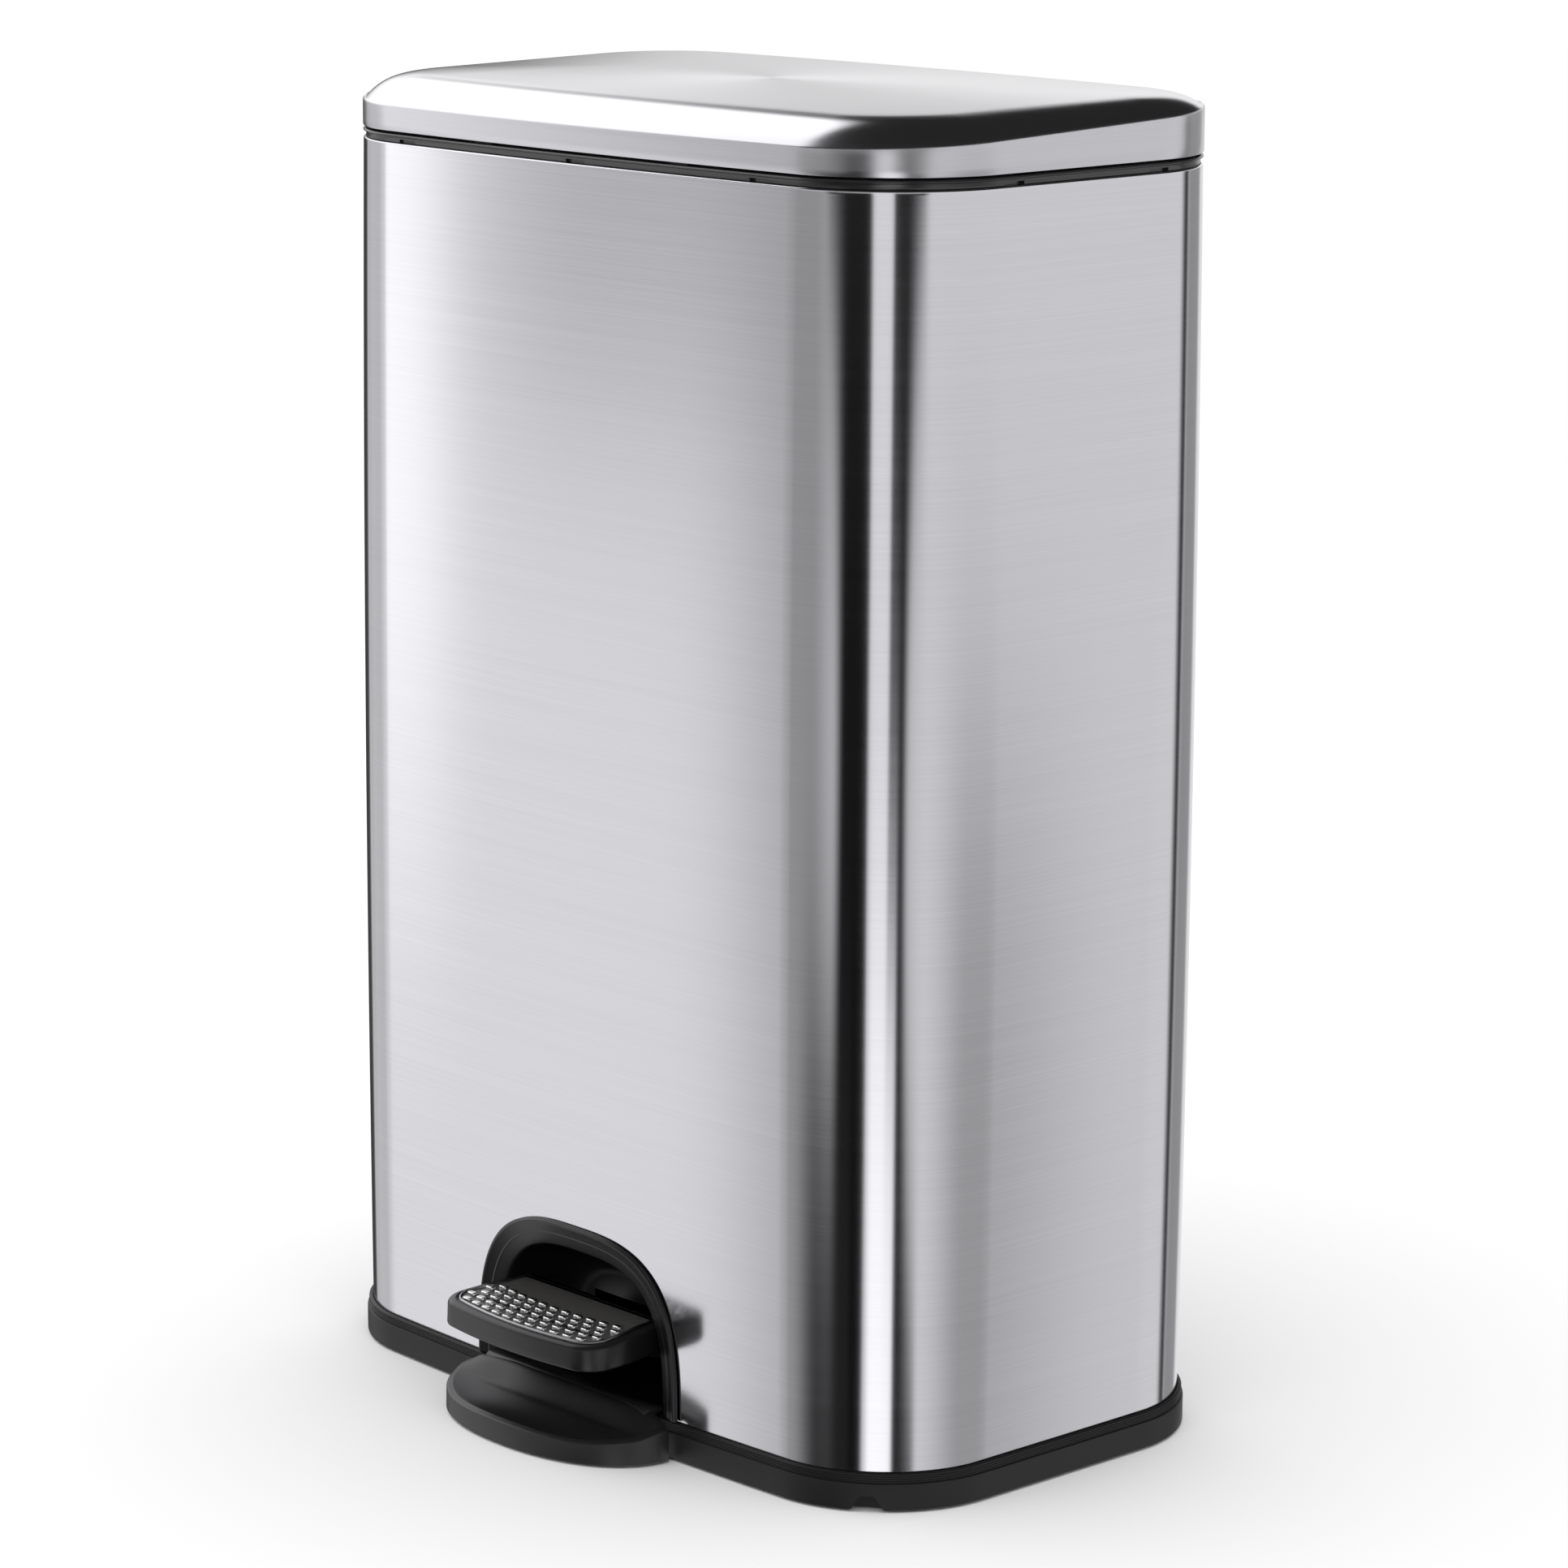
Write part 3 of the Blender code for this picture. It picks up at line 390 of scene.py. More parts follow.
def archOutline(inset):
    half, high = arch["halfWidth"] - inset, arch["height"] - inset
    points = []
    for i in range(arch["steps"] + 1):
        turn = pi - pi * i / arch["steps"]
        c, s = cos(turn), sin(turn)
        points.append((half * (1 if c > 0 else -1) * abs(c) ** (2 / arch["power"]),
                       arch["foot"] + high * abs(s) ** (2 / arch["power"])))
    return points


def archRib(inset, back, flat=0.0):
    return [(x, frontY(x) * (1 - flat) + frontFace * flat + back, z) for x, z in archOutline(inset)]


def pedalHousing():
    ribs = [archRib(*rib) for rib in arch["pocket"] + arch["frame"] + arch["bead"] + arch["back"]]
    mesh = skin(ribs, closed=False)
    mesh.verts.ensure_lookup_table()
    count = arch["steps"] + 1
    starts = [mesh.verts[i * count] for i in range(len(ribs))]
    ends = [mesh.verts[i * count + count - 1] for i in range(len(ribs))]
    mesh.faces.new(starts + ends[::-1])
    made = solid("pedal_arch", mesh, satinBlack)
    half = arch["gateHalf"]    # the lever passes through the pocket's back wall
    carve(made, block((-half, arch["gateFront"], 0.0), (half, arch["gateBack"], arch["gateTop"])))
    return fit(made, "can", "black_plastic", "pedal_housing", sharp=32)


tray = {"halfWidth": 0.0717, "front": -0.1711, "back": -0.1258, "power": 2.19, "edge": 0.0140,
        "dip": 0.0035, "ridge": 0.0228, "dishEnd": 0.62, "climb": 0.34, "lip": 0.0034, "lipDrop": 0.0009,
        "foot": 0.001, "across": 96, "along": 26, "ends": 0.006,
        # the rounded bar along the tray's back, from its front foot over the top, as y and z
        "sillHalf": 0.0580,
        "sill": [(-0.1302, 0.0190), (-0.1301, 0.0208), (-0.1293, 0.0222), (-0.1280, 0.0231),
                 (-0.1262, 0.0234), (-0.1240, 0.0232), (-0.1205, 0.0224), (-0.1172, 0.0215),
                 (-0.1164, 0.0209), (-0.1162, 0.0192)]}


def trayTop(x, y):
    # a shallow dish, then a rounded ridge at the back that runs out at both ends
    depth = max((y - tray["front"]) / (tray["back"] - tray["front"]), 0.0)
    offCentre = min(abs(x) / tray["halfWidth"], 1.0)
    dish = tray["dip"] * sin(pi * min(depth / tray["dishEnd"], 1.0)) * (1 - offCentre ** 2)
    rise = min(max((depth - tray["dishEnd"]) / tray["climb"], 0.0), 1.0)
    climb = (tray["ridge"] - tray["edge"]) * (3 * rise ** 2 - 2 * rise ** 3) * (1 - offCentre ** 8)
    return tray["edge"] - dish + climb


def trayColumn(turn):
    # one strip from the ridge, over the rim and its sloping lip, and down the wall to its foot
    def outline(inset):
        c = cos(turn)
        x = -(tray["halfWidth"] - inset) * (1 if c > 0 else -1) * abs(c) ** (2 / tray["power"])
        reach = tray["back"] - tray["front"] - inset
        return x, tray["back"] - reach * abs(sin(turn)) ** (2 / tray["power"])
    lip, drop = tray["lip"], tray["lipDrop"]
    x, edge = outline(lip)
    points = []
    for j in range(tray["along"] + 1):
        y = tray["back"] + (edge - tray["back"]) * j / tray["along"]
        points.append((x, y, trayTop(x, y)))
    top = points[-1][2]
    for inset, fall in ((lip - 0.0003, 0.0), (lip - 0.0006, 0.0002), (lip * 0.5, drop * 0.45),
                        (0.0009, drop * 0.85), (0.0003, drop * 1.3), (0.0001, drop * 1.9)):
        xj, yj = outline(inset)
        points.append((xj, yj, top - fall))
    x0, y0 = outline(0.0)
    points += [(x0, y0, tray["foot"] + 0.0006), (x0 * 0.995, y0 + 0.0006, tray["foot"])]
    inX, inY = outline(lip)
    return points + [(inX, inY, tray["foot"]), (inX, inY, top - 0.0040)]


def toeTray():
    first, last = tray["ends"] * pi, (1 - tray["ends"]) * pi
    columns = [trayColumn(first + (last - first) * i / tray["across"]) for i in range(tray["across"] + 1)]
    made = solid("toe_tray", skin(columns, closed=False, caps=False), trayBlack)
    half = tray["sillHalf"]
    sill = solid("toe_sill", skin([[(x, y, z) for y, z in tray["sill"]] for x in (-half, half)]), trayBlack)
    soften(sill, 0.0005, 2)
    fit(sill, "can", "black_plastic", "toe_guard")
    return fit(made, "can", "black_plastic", "toe_guard")


base = {
    # inset and height up the outside: the plinth, the fine ribs on its ledge, then the channel for the steel
    "outside": [(0.0120, 0.0010), (-0.0024, 0.0010), (-0.0029, 0.0014), (-0.0030, 0.0019), (-0.0030, 0.0130),
                (-0.0029, 0.0135), (-0.0026, 0.0138), (-0.0023, 0.0139)],
    "ribs": 4, "ribFoot": 0.0140, "ribPitch": 0.00105, "ribOut": -0.0022, "ribIn": -0.00185,
    "inside": [(-0.0010, 0.01845), (-0.0003, 0.0182), (-0.0003, 0.0115), (0.0013, 0.0115), (0.0013, 0.0240),
               (0.0035, 0.0240), (0.0035, 0.0100), (0.0120, 0.0100)],
    "notchFoot": 0.0085, "notchTop": 0.0035, "notchHeight": 0.0078, "notchTurn": 52,
    "sillHalf": 0.0660, "sillFoot": 0.0184, "sillFront": -0.1235, "sillBack": -0.1100, "sillTop": 0.03,
}


def baseRing():
    profile = list(base["outside"])
    for i in range(base["ribs"]):
        z = base["ribFoot"] + i * base["ribPitch"]
        profile += [(base["ribIn"], z), (base["ribOut"], z + 0.0002), (base["ribOut"], z + 0.0007),
                    (base["ribIn"], z + 0.0009)]
    profile += base["inside"]
    made = solid("base_moulding", skin([canRing(i, z) for i, z in profile], loop=True), baseBlack)
    for sideX in (-1, 1):
        for sideY in (-1, 1):
            carve(made, cornerNotch(sideX, sideY))
    half = base["sillHalf"]
    carve(made, block((-half, base["sillFront"], base["sillFoot"]),
                      (half, base["sillBack"], base["sillTop"])))
    return fit(made, "can", "black_plastic", "base_ring", sharp=30)


def cornerNotch(sideX, sideY):
    reach = plan["cornerRadius"]
    centre = Vector((sideX * (halfWidth - reach), sideY * (halfDepth - reach)))
    turn = radians(base["notchTurn"])
    out = Vector((sideX * cos(turn), sideY * sin(turn)))
    along = Vector((-out.y, out.x))
    half, top = base["notchTop"], base["notchHeight"]
    wide = half + (base["notchFoot"] - half) * (top + 0.01) / top
    shape = [(-wide, -0.01), (wide, -0.01), (half, top - 0.0004), (half * 0.85, top), (-half * 0.85, top),
             (-half, top - 0.0004)]
    rows = []
    for distance in (reach - 0.0015, reach + 0.02):
        spot = centre + out * distance
        rows.append([(*(spot + along * side), z) for side, z in shape])
    return skin(rows)


rim = {"lip": [(0.0012, 0.6022), (0.0010, 0.6026), (0.0003, 0.6028), (-0.0001, 0.6031), (-0.0002, 0.6035),
               (0.0, 0.6039), (0.0004, 0.6042), (0.0010, 0.6044), (0.0020, 0.6045), (0.0034, 0.6044),
               (0.0038, 0.6040)],
       "seat": [(0.0038, 0.5750), (0.0043, 0.5745), (0.0140, 0.5745), (0.0145, 0.5740), (0.0145, 0.5720),
                (0.0013, 0.5720), (0.0013, 0.6000), (0.0009, 0.6003)],
       "notchHalf": 0.0062, "notchTop": 0.6018, "notchDepth": 0.0028,
       "frontNotches": (-0.127, -0.002, 0.119), "sideNotches": (-0.042, 0.050),
       "slotFront": 0.1125, "slotBack": 0.130, "slotTop": 0.62, "fingerReach": 0.1975}


def carveFingerGaps(made, reach):
    half = gaps["fingerHalf"]
    for side in (-1, 1):
        near, far = sorted((side * gaps["fingerInner"], side * reach))
        carve(made, block((near, -half, gaps["fingerFoot"]), (far, half, gaps["fingerTop"])))


def carveHingeGap(made, low, high):
    half = gaps["hingeHalf"]
    carve(made, block((-half, gaps["hingeFront"], low), (half, gaps["hingeBack"], high)))


def rimRing():
    profile = [(0.0012, 0.6003)] + rim["lip"] + rim["seat"]
    made = solid("rim_band", skin([canRing(i, z) for i, z in profile], loop=True), rimBlack)
    half, foot = rim["notchHalf"], shellHigh.z + 0.0001
    for x in rim["frontNotches"]:
        for side in (-1, 1):
            face = side * -frontY(x)
            near, far = sorted((face - side * rim["notchDepth"], face + side * 0.003))
            carve(made, block((x - half, near, foot - 0.0002), (x + half, far, rim["notchTop"])))
    for y in rim["sideNotches"]:
        for side in (-1, 1):
            near, far = sorted((side * (halfWidth - rim["notchDepth"]), side * (halfWidth + 0.003)))
            carve(made, block((near, y - half, foot - 0.0002), (far, y + half, rim["notchTop"])))
    half = gaps["armHalf"]
    carve(made, block((-half, rim["slotFront"], gaps["armFoot"]), (half, rim["slotBack"], rim["slotTop"])))
    carveFingerGaps(made, rim["fingerReach"])
    return fit(made, "can", "black_plastic", "rim_ring")


lid = {"edgeLow": 0.6226, "edgeSlope": 0.0388, "crease": 0.6312, "creaseSlope": 0.0145,
       "facetStart": 0.0011, "facetEnd": 0.026, "facetRows": 14,
       "bulge": 0.75, "bulgePower": 3.0, "crown": 0.0017, "crownRows": 14, "spine": 0.095,
       "gauge": 0.001, "gapLow": 0.60, "gapHigh": 0.6106}


def lidEdge(y):
    return lid["edgeLow"] + lid["edgeSlope"] * y


def lidCrease(y):
    return lid["crease"] + lid["creaseSlope"] * y


def facetLevel(t, drop=0.0):
    rise = lid["bulge"] * (1 - (1 - t) ** lid["bulgePower"]) + (1 - lid["bulge"]) * t
    return lambda y: lidEdge(y) * (1 - rise) + lidCrease(y) * rise - drop


def crownRing(f, drop=0.0):
    # the panel inside the crease, drawn towards a spine along x
    points = []
    for x, y in canPlan(lid["facetEnd"]):
        spineX = max(min(x, lid["spine"]), -lid["spine"])
        px, py = x + (spineX - x) * f, y * (1 - f)
        points.append((px, py, lidCrease(py) + lid["crown"] * (1 - (1 - f) ** 2) - drop))
    return points


def lidTop():
    bottom, gauge = lidLow.z, lid["gauge"]
    rings = [canRing(0.0009, bottom + 0.0006), canRing(0.0007, bottom + 0.0001), canRing(0.0003, bottom),
             canRing(-0.0001, bottom + 0.0002), canRing(-0.0003, bottom + 0.0006)]
    rings += [canRing(-0.0003, lambda y, t=t: (bottom + 0.0006) * (1 - t) + (lidEdge(y) - 0.0010) * t)
              for t in (0.25, 0.5, 0.75, 1.0)]
    rings += [canRing(-0.0002, lambda y: lidEdge(y) - 0.0005), canRing(0.0001, lambda y: lidEdge(y) - 0.0001),
              canRing(0.0005, lambda y: lidEdge(y) + 0.0003)]
    start, end, rows = lid["facetStart"], lid["facetEnd"], lid["facetRows"]
    rings += [canRing(start + (end - start) * i / rows, facetLevel(i / rows)) for i in range(rows + 1)]
    rings += [crownRing(i / lid["crownRows"]) for i in range(1, lid["crownRows"])] + [crownRing(0.985)]
    inner = [canRing(0.0009, lambda y: lidEdge(y) - 0.0006)]
    inner += [canRing(start + 0.0006 + (end - start) * i / rows, facetLevel(i / rows, gauge))
              for i in range(0, rows + 1, 2)]
    inner += [crownRing(i / 6, gauge) for i in range(1, 6)] + [crownRing(0.985, gauge)]
    made = solid("lid_top", skin(inner[::-1] + rings), lidSteel)
    carveHingeGap(made, lid["gapLow"], lid["gapHigh"])
    return fit(made, "lid", "brushed_steel", "lid_shell", sharp=28)


liner = {"profile": [(0.0026, 0.6101), (0.0024, 0.6098), (0.0024, 0.6082), (0.0027, 0.6080), (0.0045, 0.6080),
                     (0.0048, 0.6077), (0.0048, 0.5990), (0.0052, 0.5985), (0.0064, 0.5985), (0.0068, 0.5990),
                     (0.0068, 0.6072), (0.0076, 0.6080), (0.0130, 0.6080), (0.0150, 0.6085),
                     (0.0170, 0.6092), (0.0400, 0.6092)],
         "gapLow": 0.59, "gapHigh": 0.6079}


def lidLiner():
    made = solid("lid_lining", skin([canRing(i, z) for i, z in liner["profile"]]), baseBlack)
    carveHingeGap(made, liner["gapLow"], liner["gapHigh"])
    return fit(made, "lid", "black_plastic", "lid_liner", sharp=40)


bucket = {"foot": 0.097, "top": 0.5778, "rows": 18, "fingerReach": 0.21}


def innerBucket():
    foot, top, rows = bucket["foot"], bucket["top"], bucket["rows"]

    def wall(startInset, endInset, start, end):
        return [canRing(startInset + (endInset - startInset) * i / rows, start + (end - start) * i / rows)
                for i in range(rows + 1)]

    rings = [canRing(0.0300, foot), canRing(0.0262, foot), canRing(0.0238, foot + 0.0012),
             canRing(0.0226, foot + 0.0040)]
    rings += wall(0.0225, 0.0156, foot + 0.006, 0.5744)
    rings += [canRing(0.0150, 0.5748), canRing(0.0056, 0.5748), canRing(0.0050, 0.5754),
              canRing(0.0050, top - 0.0008), canRing(0.0058, top), canRing(0.0168, top),
              canRing(0.0176, top - 0.0006)]
    rings += wall(0.0178, 0.0248, top - 0.002, foot + 0.010)
    rings += [canRing(0.0256, foot + 0.0055), canRing(0.0275, foot + 0.0032), canRing(0.0310, foot + 0.0025)]
    made = solid("bin_bucket", skin(rings), bucketGrey)
    carveFingerGaps(made, bucket["fingerReach"])
    return fit(made, "can", "bucket_plastic", "inner_bucket", sharp=40)


hood = {"half": 0.072, "front": 0.1231, "back": 0.1510, "low": 0.503, "high": 0.5975, "radius": 0.012,
        "wall": 0.0022, "chin": 0.018, "draw": 0.72, "taper": 0.03, "rows": 8, "round": 0.0007}


def hoodPlan(inset, front, draw):
    half, back, radius = hood["half"] - inset, hood["back"] - inset, hood["radius"] - inset
    points = [(-half, front), (half, front)] + arc((half - radius, back - radius), radius, 12, 0, pi / 2)
    points += arc((-half + radius, back - radius), radius, 12, pi / 2, pi / 2)
    narrow, shallow = 1 - hood["taper"] * draw, 1 - (1 - hood["draw"]) * draw
    return [(x * narrow, hood["front"] + (y - hood["front"]) * shallow) for x, y in points]


def rearHood():
    def rows(inset, front, low, high):
        made = []
        for i in range(hood["rows"] + 1):
            t = i / hood["rows"]
            made.append([(x, y, low + hood["chin"] * t) for x, y in hoodPlan(inset, front, (1 - t) ** 2)])
        made.append([(x, y, high) for x, y in hoodPlan(inset, front, 0.0)])
        return made
    made = solid("rear_hood", skin(rows(0.0, hood["front"], hood["low"], hood["high"])), baseBlack)
    carve(made, skin(rows(hood["wall"], 0.10, hood["low"] + hood["wall"], 0.62)))
    soften(made, hood["round"], 3, 50)
    return fit(made, "can", "black_plastic", "rear_cover", sharp=40)


pad = {"half": 0.0555, "front": -0.1613, "back": -0.110, "bottom": 0.0456, "top": 0.0575, "slope": 0.047,
       "corner": 0.0120, "bow": 0.0057, "neck": 0.0043, "round": 0.0021, "lip": 0.0047,
       "soleHalf": 0.0218, "soleFront": -0.1500, "soleBack": -0.1000, "soleFoot": 0.040, "soleTop": 0.0500}


def padPlan(inset, back):
    half, front, radius = pad["half"] - inset, pad["front"] + inset, pad["corner"] - inset * 0.5
    neck = pad["neck"]
    side = [(half - neck, back), (half - neck * 0.75, back - 0.012), (half - neck * 0.4, back - 0.020),
            (half - neck * 0.12, back - 0.027), (half, back - 0.034)]
    points = [(-x, y) for x, y in side]
    points += arc((-half + radius, front + radius), radius, 14, pi, pi / 2)
    start = points[-1][0]
    points += [(start - 2 * start * i / 24, front) for i in range(1, 24)]
    points += arc((half - radius, front + radius), radius, 14, 1.5 * pi, pi / 2)
    points += side[::-1]
    shaped = []
    for x, y in points:
        weight = min(max((front + radius - y) / radius, 0.0), 1.0)
        shaped.append((x, y - pad["bow"] * (1 - (x / half) ** 2) * weight))
    return shaped


def padRing(inset, height, slope=0.0, back=pad["back"]):
    return [(x, y, height + slope * (y + 0.15)) for x, y in padPlan(inset, back)]


def pedalPad():
    low, top, slope, r = pad["bottom"], pad["top"], pad["slope"], pad["round"]
    rings = [padRing(0.0016, low), padRing(0.0008, low + 0.0002), padRing(0.0002, low + 0.0007),
             padRing(0.0, low + 0.0014), padRing(0.0001, low + 0.005, slope * 0.4)]
    for i in range(8):
        bend = pi / 2 * i / 7
        rings.append(padRing(0.0002 + r * (1 - cos(bend)), top - r + 0.0009 + r * sin(bend), slope))
    lip = pad["lip"]
    rings += [padRing(lip - inset, top + rise, slope) for inset, rise in
              ((0.0014, 0.0012), (0.0010, 0.0010), (0.0007, 0.0006), (0.0004, 0.0004), (0.0001, 0.0004))]
    made = solid("foot_pad", skin(rings), satinBlack)
    half = pad["soleHalf"]    # the lever lies in a channel under the pad
    carve(made, block((-half, pad["soleFront"], pad["soleFoot"]), (half, pad["soleBack"], pad["soleTop"])))
    return fit(made, "pedal", "black_plastic", "pedal_pad", sharp=50)


tread = {"inset": 0.0053, "pitchX": 0.00825, "pitchY": 0.00565, "firstRow": -0.1582, "rows": 5, "columns": 11,
         "rowBow": 0.0039 * 1.2, "lastReach": 0.955, "longHalf": 0.0024, "shortHalf": 0.00150,
         "halfWidth": 0.0483, "edge": 0.0047, "back": 0.0043}


def pedalTread():
    back = pad["back"] - tread["back"]
    top, slope, inset = pad["top"], pad["slope"], tread["inset"]
    rings = [padRing(inset, top + 0.0003, slope, back), padRing(inset, top + 0.0007, slope, back),
             padRing(inset + 0.0004, top + 0.0010, slope, back)]
    made = solid("tread_bed", skin(rings), treadBlack)
    fit(made, "pedal", "rubber", "pedal_tread")
    edge = [(tread["edge"] + inset, top + rise) for inset, rise in
            ((0.0, 0.0004), (0.0, 0.0016), (0.0002, 0.0018), (0.0005, 0.0018), (0.0007, 0.0015),
             (0.0007, 0.0004))]
    trim = solid("tread_edge", skin([padRing(i, z, slope, back) for i, z in edge], loop=True), edgeNickel)
    fit(trim, "pedal", "rubber", "pedal_tread", sharp=50)
    mesh = bmesh.new()
    for row in range(tread["rows"]):
        columns = tread["columns"] + row % 2    # every other row holds one more
        for column in range(columns):
            x = (column - (columns - 1) / 2) * tread["pitchX"]
            reach = abs(x) / tread["halfWidth"]
            y = tread["firstRow"] + row * tread["pitchY"] + tread["rowBow"] * reach ** 2
            if reach < tread["lastReach"]:
                addNub(mesh, x, y, top + 0.0009 + slope * (y + 0.15))
    nubs = solid("tread_nubs", mesh, brightNub)
    return fit(nubs, "pedal", "rubber", "pedal_tread", sharp=30)


def addNub(mesh, x, y, z):
    # one raised bar with rounded ends and a soft top
    rows = []
    for shrink, lift in ((0.0, -0.0004), (0.0, 0.0009), (0.00010, 0.00115), (0.00030, 0.0013)):
        halfX, halfY = tread["longHalf"] - shrink, tread["shortHalf"] - shrink
        corner = min(0.0008, halfY * 0.9)
        ringPoints = []
        for turn, (sx, sy) in enumerate(((1, -1), (1, 1), (-1, 1), (-1, -1))):
            ringPoints += arc((x + sx * (halfX - corner), y + sy * (halfY - corner)), corner, 3,
                              (turn - 1) * pi / 2, pi / 2)
        rows.append([mesh.verts.new((px, py, z + lift)) for px, py in ringPoints])
    for low, high in zip(rows, rows[1:]):
        for i in range(len(low)):
            j = (i + 1) % len(low)
            mesh.faces.new((low[i], low[j], high[j], high[i]))
    mesh.faces.new(rows[0])
    mesh.faces.new(rows[-1])


for make in (bodyWrap, pedalHousing, toeTray, baseRing, rimRing, lidTop, lidLiner, innerBucket, rearHood,
             pedalPad, pedalTread):
    made = make()
    print("made", made.name, len(made.data.polygons), "faces")


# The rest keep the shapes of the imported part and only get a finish.
carried = {
    "zinc": ("hinge_bracket", "hinge_pin", "axle_bracket", "pedal_axle", "axle_clip", "pan_screw",
             "axle_screw", "bracket_screw", "lid_hinge_plate", "lid_screw", "pad_screw", "pedal_lever",
             "lift_rod"),
    "rubber": ("foot_", "lid_bumper"),
    "plastic": ("base_pan", "rod_guide"),
}
finishOf = {"zinc": zinc, "rubber": rubberBlack, "plastic": baseBlack}
for kind, starts in carried.items():
    for name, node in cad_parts.items():
        if name.startswith(starts):
            for holder in node.material_slots:
                holder.material = finishOf[kind]
print("hardware finished")


def studioFloor():
    mesh = bmesh.new()
    bmesh.ops.create_circle(mesh, cap_ends=True, segments=96, radius=9.0)
    data = bpy.data.meshes.new("studio_floor")
    mesh.to_mesh(data)
    mesh.free()
    made = bpy.data.objects.new("studio_floor", data)
    bpy.context.scene.collection.objects.link(made)
    paper, paperShader, bench = shader("pale_paper")
    paperShader.inputs["Base Color"].default_value = (0.56, 0.56, 0.56, 1)
    paperShader.inputs["Roughness"].default_value = 0.9
    paperShader.inputs["Specular IOR Level"].default_value = 0.0
    data.materials.append(paper)
    made.visible_glossy = False


studioFloor()

# Cards round the set: level, where each starts and ends round the set in degrees, how soft its
# ends are, how much they spread above and below the middle, and how high it stands.
cards = [
    {"level": 1.03, "start": -152, "end": -132, "soft": (6, 5)},
    {"level": 1.55, "start": -150.5, "end": -145, "soft": (4, 3), "low": -12.5, "lowSoft": 8},
    {"level": 0.62, "start": -143, "end": -100, "soft": (9, 20), "low": -7.5, "lowSoft": 3},
    {"level": 0.40, "start": -131.0, "end": -92, "soft": (8, 30)},
    {"level": 0.006, "start": -82, "end": -59, "soft": (9, 3), "spread": (11, 1)},
    {"level": 0.97, "start": -57.5, "end": -45, "soft": (3, 2), "spread": (2, 2)},
    {"level": 0.010, "start": -44, "end": -32, "soft": (2, 6), "spread": (0, 10)},
    {"level": 1.55, "start": -56, "end": -37, "soft": (4, 3), "high": -14.5, "highSoft": 4},
    {"level": 0.02, "start": -112, "end": -70, "soft": (30, 4), "high": -15, "highSoft": 4},
    {"level": 0.44, "start": 2, "end": 45.9, "soft": (45, 2.4), "high": -11.5, "highSoft": 6},
    {"level": 0.03, "start": 72, "end": 81, "soft": (9, 6)},
    {"level": 0.36, "start": 82, "end": 108, "soft": (6, 8)},
    {"level": 0.055, "start": 139, "end": 170, "soft": (3, 8)},
    {"level": 0.62, "start": 171, "end": 190, "soft": (10, 4)},
    {"level": 0.69, "start": -190, "end": -158, "soft": (4, 8)},
]
# Above the cards: a pale band, then a bright sky with a dark canopy on the right and behind, whose
# edge leans with height. Matt surfaces only see the even level called diffuse.
overhead = {"level": 1.65, "dark": 0.025, "edge": -0.60, "edgeLean": 0.40, "edgeHeight": 0.70,
            "edgeSoft": 0.03, "floorOfDark": 13.6, "darkSoft": 2.6, "horizon": 6.0, "horizonSoft": 3.0,
            "lowBand": 1.08, "diffuse": 1.85}


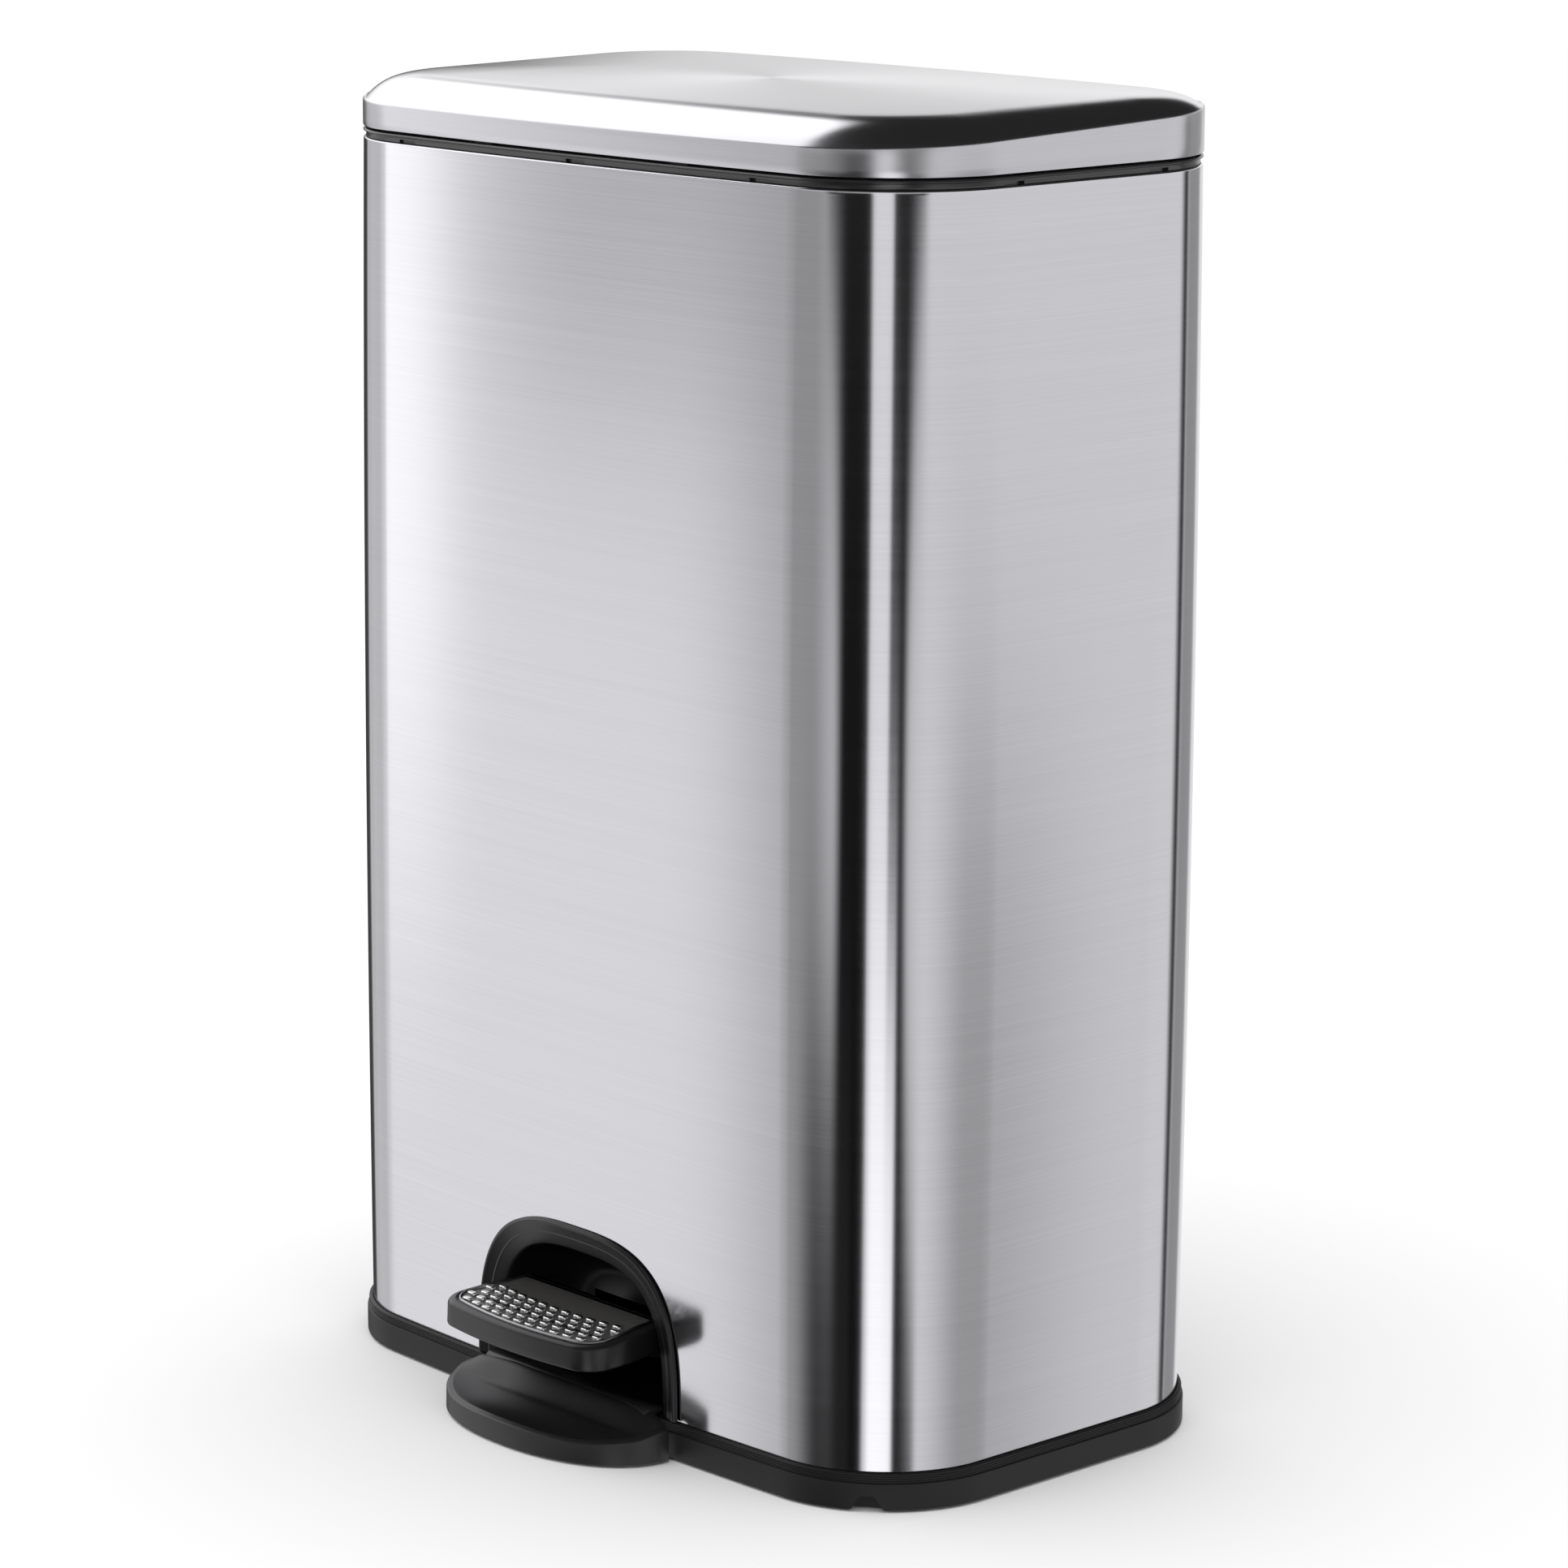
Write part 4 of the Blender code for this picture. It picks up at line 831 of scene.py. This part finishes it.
def studioLight():
    world = bpy.data.worlds.new("studio")
    bpy.context.scene.world = world
    world.use_nodes = True
    tree = world.node_tree
    bench = Wire(tree)
    way = bench.node("ShaderNodeTexCoord", output="Generated")
    right, away, up = (way.split(axis) for axis in range(3))
    turn = bench.node("ShaderNodeMath", {"operation": "ARCTAN2"}, {0: away, 1: right}) * (180 / pi)
    lift = bench.node("ShaderNodeMath", {"operation": "ARCSINE"}, {0: up}) * (180 / pi)
    fromMiddle = (lift + 12) / 7
    bend = bench.node("ShaderNodeMath", {"operation": "MINIMUM"}, {0: fromMiddle * fromMiddle, 1: 1.3})
    light = bench.node("ShaderNodeValue")
    light.socket.default_value = 0.87
    for card in cards:
        softStart, softEnd = card["soft"]
        spreadStart, spreadEnd = card.get("spread", (0, 0))
        mask = (turn - card["start"] + bend * spreadStart).smooth(-softStart / 2, softStart / 2)
        mask = mask * (card["end"] - turn + bend * spreadEnd).smooth(-softEnd / 2, softEnd / 2)
        if "low" in card:
            mask = mask * (lift - card["low"]).smooth(-card["lowSoft"] / 2, card["lowSoft"] / 2)
        if "high" in card:
            mask = mask * (card["high"] - lift).smooth(-card["highSoft"] / 2, card["highSoft"] / 2)
        light = light * (1 - mask) + mask * card["level"]
    o = overhead
    above = (lift - o["horizon"]).smooth(-o["horizonSoft"], o["horizonSoft"])
    high = lift.smooth(o["floorOfDark"] - o["darkSoft"], o["floorOfDark"] + o["darkSoft"])
    edge = (up - o["edgeHeight"]) * o["edgeLean"] + o["edge"]
    dark = (right - edge).smooth(-o["edgeSoft"], o["edgeSoft"]) * high
    sky = high * (o["level"] - o["lowBand"]) + o["lowBand"]
    sky = sky * (1 - dark) + dark * o["dark"]
    light = light * (1 - above) + sky * above
    soft = bench.node("ShaderNodeLightPath", output="Is Diffuse Ray")
    light = light * (1 - soft) + soft * o["diffuse"]
    seen = bench.node("ShaderNodeLightPath", output="Is Camera Ray")
    background = tree.nodes["Background"]
    bench.feed(background.inputs["Strength"], light * (1 - seen) + seen * 1.05)
    background.inputs["Color"].default_value = (1, 1, 1, 1)


studioLight()

key = {"size": 2.4, "height": 2.6, "power": 22.0, "place": (-0.4, -0.5)}


def softKey():
    data = bpy.data.lights.new("soft_key", "AREA")
    data.size = key["size"]
    data.energy = key["power"]
    made = bpy.data.objects.new("soft_key", data)
    made.location = (*key["place"], key["height"])
    made.visible_glossy = False
    bpy.context.scene.collection.objects.link(made)
    aim = Vector((0, 0, 0.1)) - made.location
    made.rotation_euler = aim.to_track_quat("-Z", "Y").to_euler()


softKey()

view = {"place": (1.8299, -1.6891, 0.8294), "down": 11.136, "round": 48.926, "lens": 121.83,
        "shift": (0.1145, -0.0570)}


def setCamera():
    data = bpy.data.cameras.new("camera")
    data.sensor_width = 36.0
    data.lens = view["lens"]
    data.shift_x, data.shift_y = view["shift"]
    made = bpy.data.objects.new("camera", data)
    made.location = view["place"]
    made.rotation_euler = (radians(90 - view["down"]), 0, radians(view["round"]))
    bpy.context.scene.collection.objects.link(made)
    bpy.context.scene.camera = made


setCamera()
bpy.context.scene.view_settings.view_transform = "Standard"
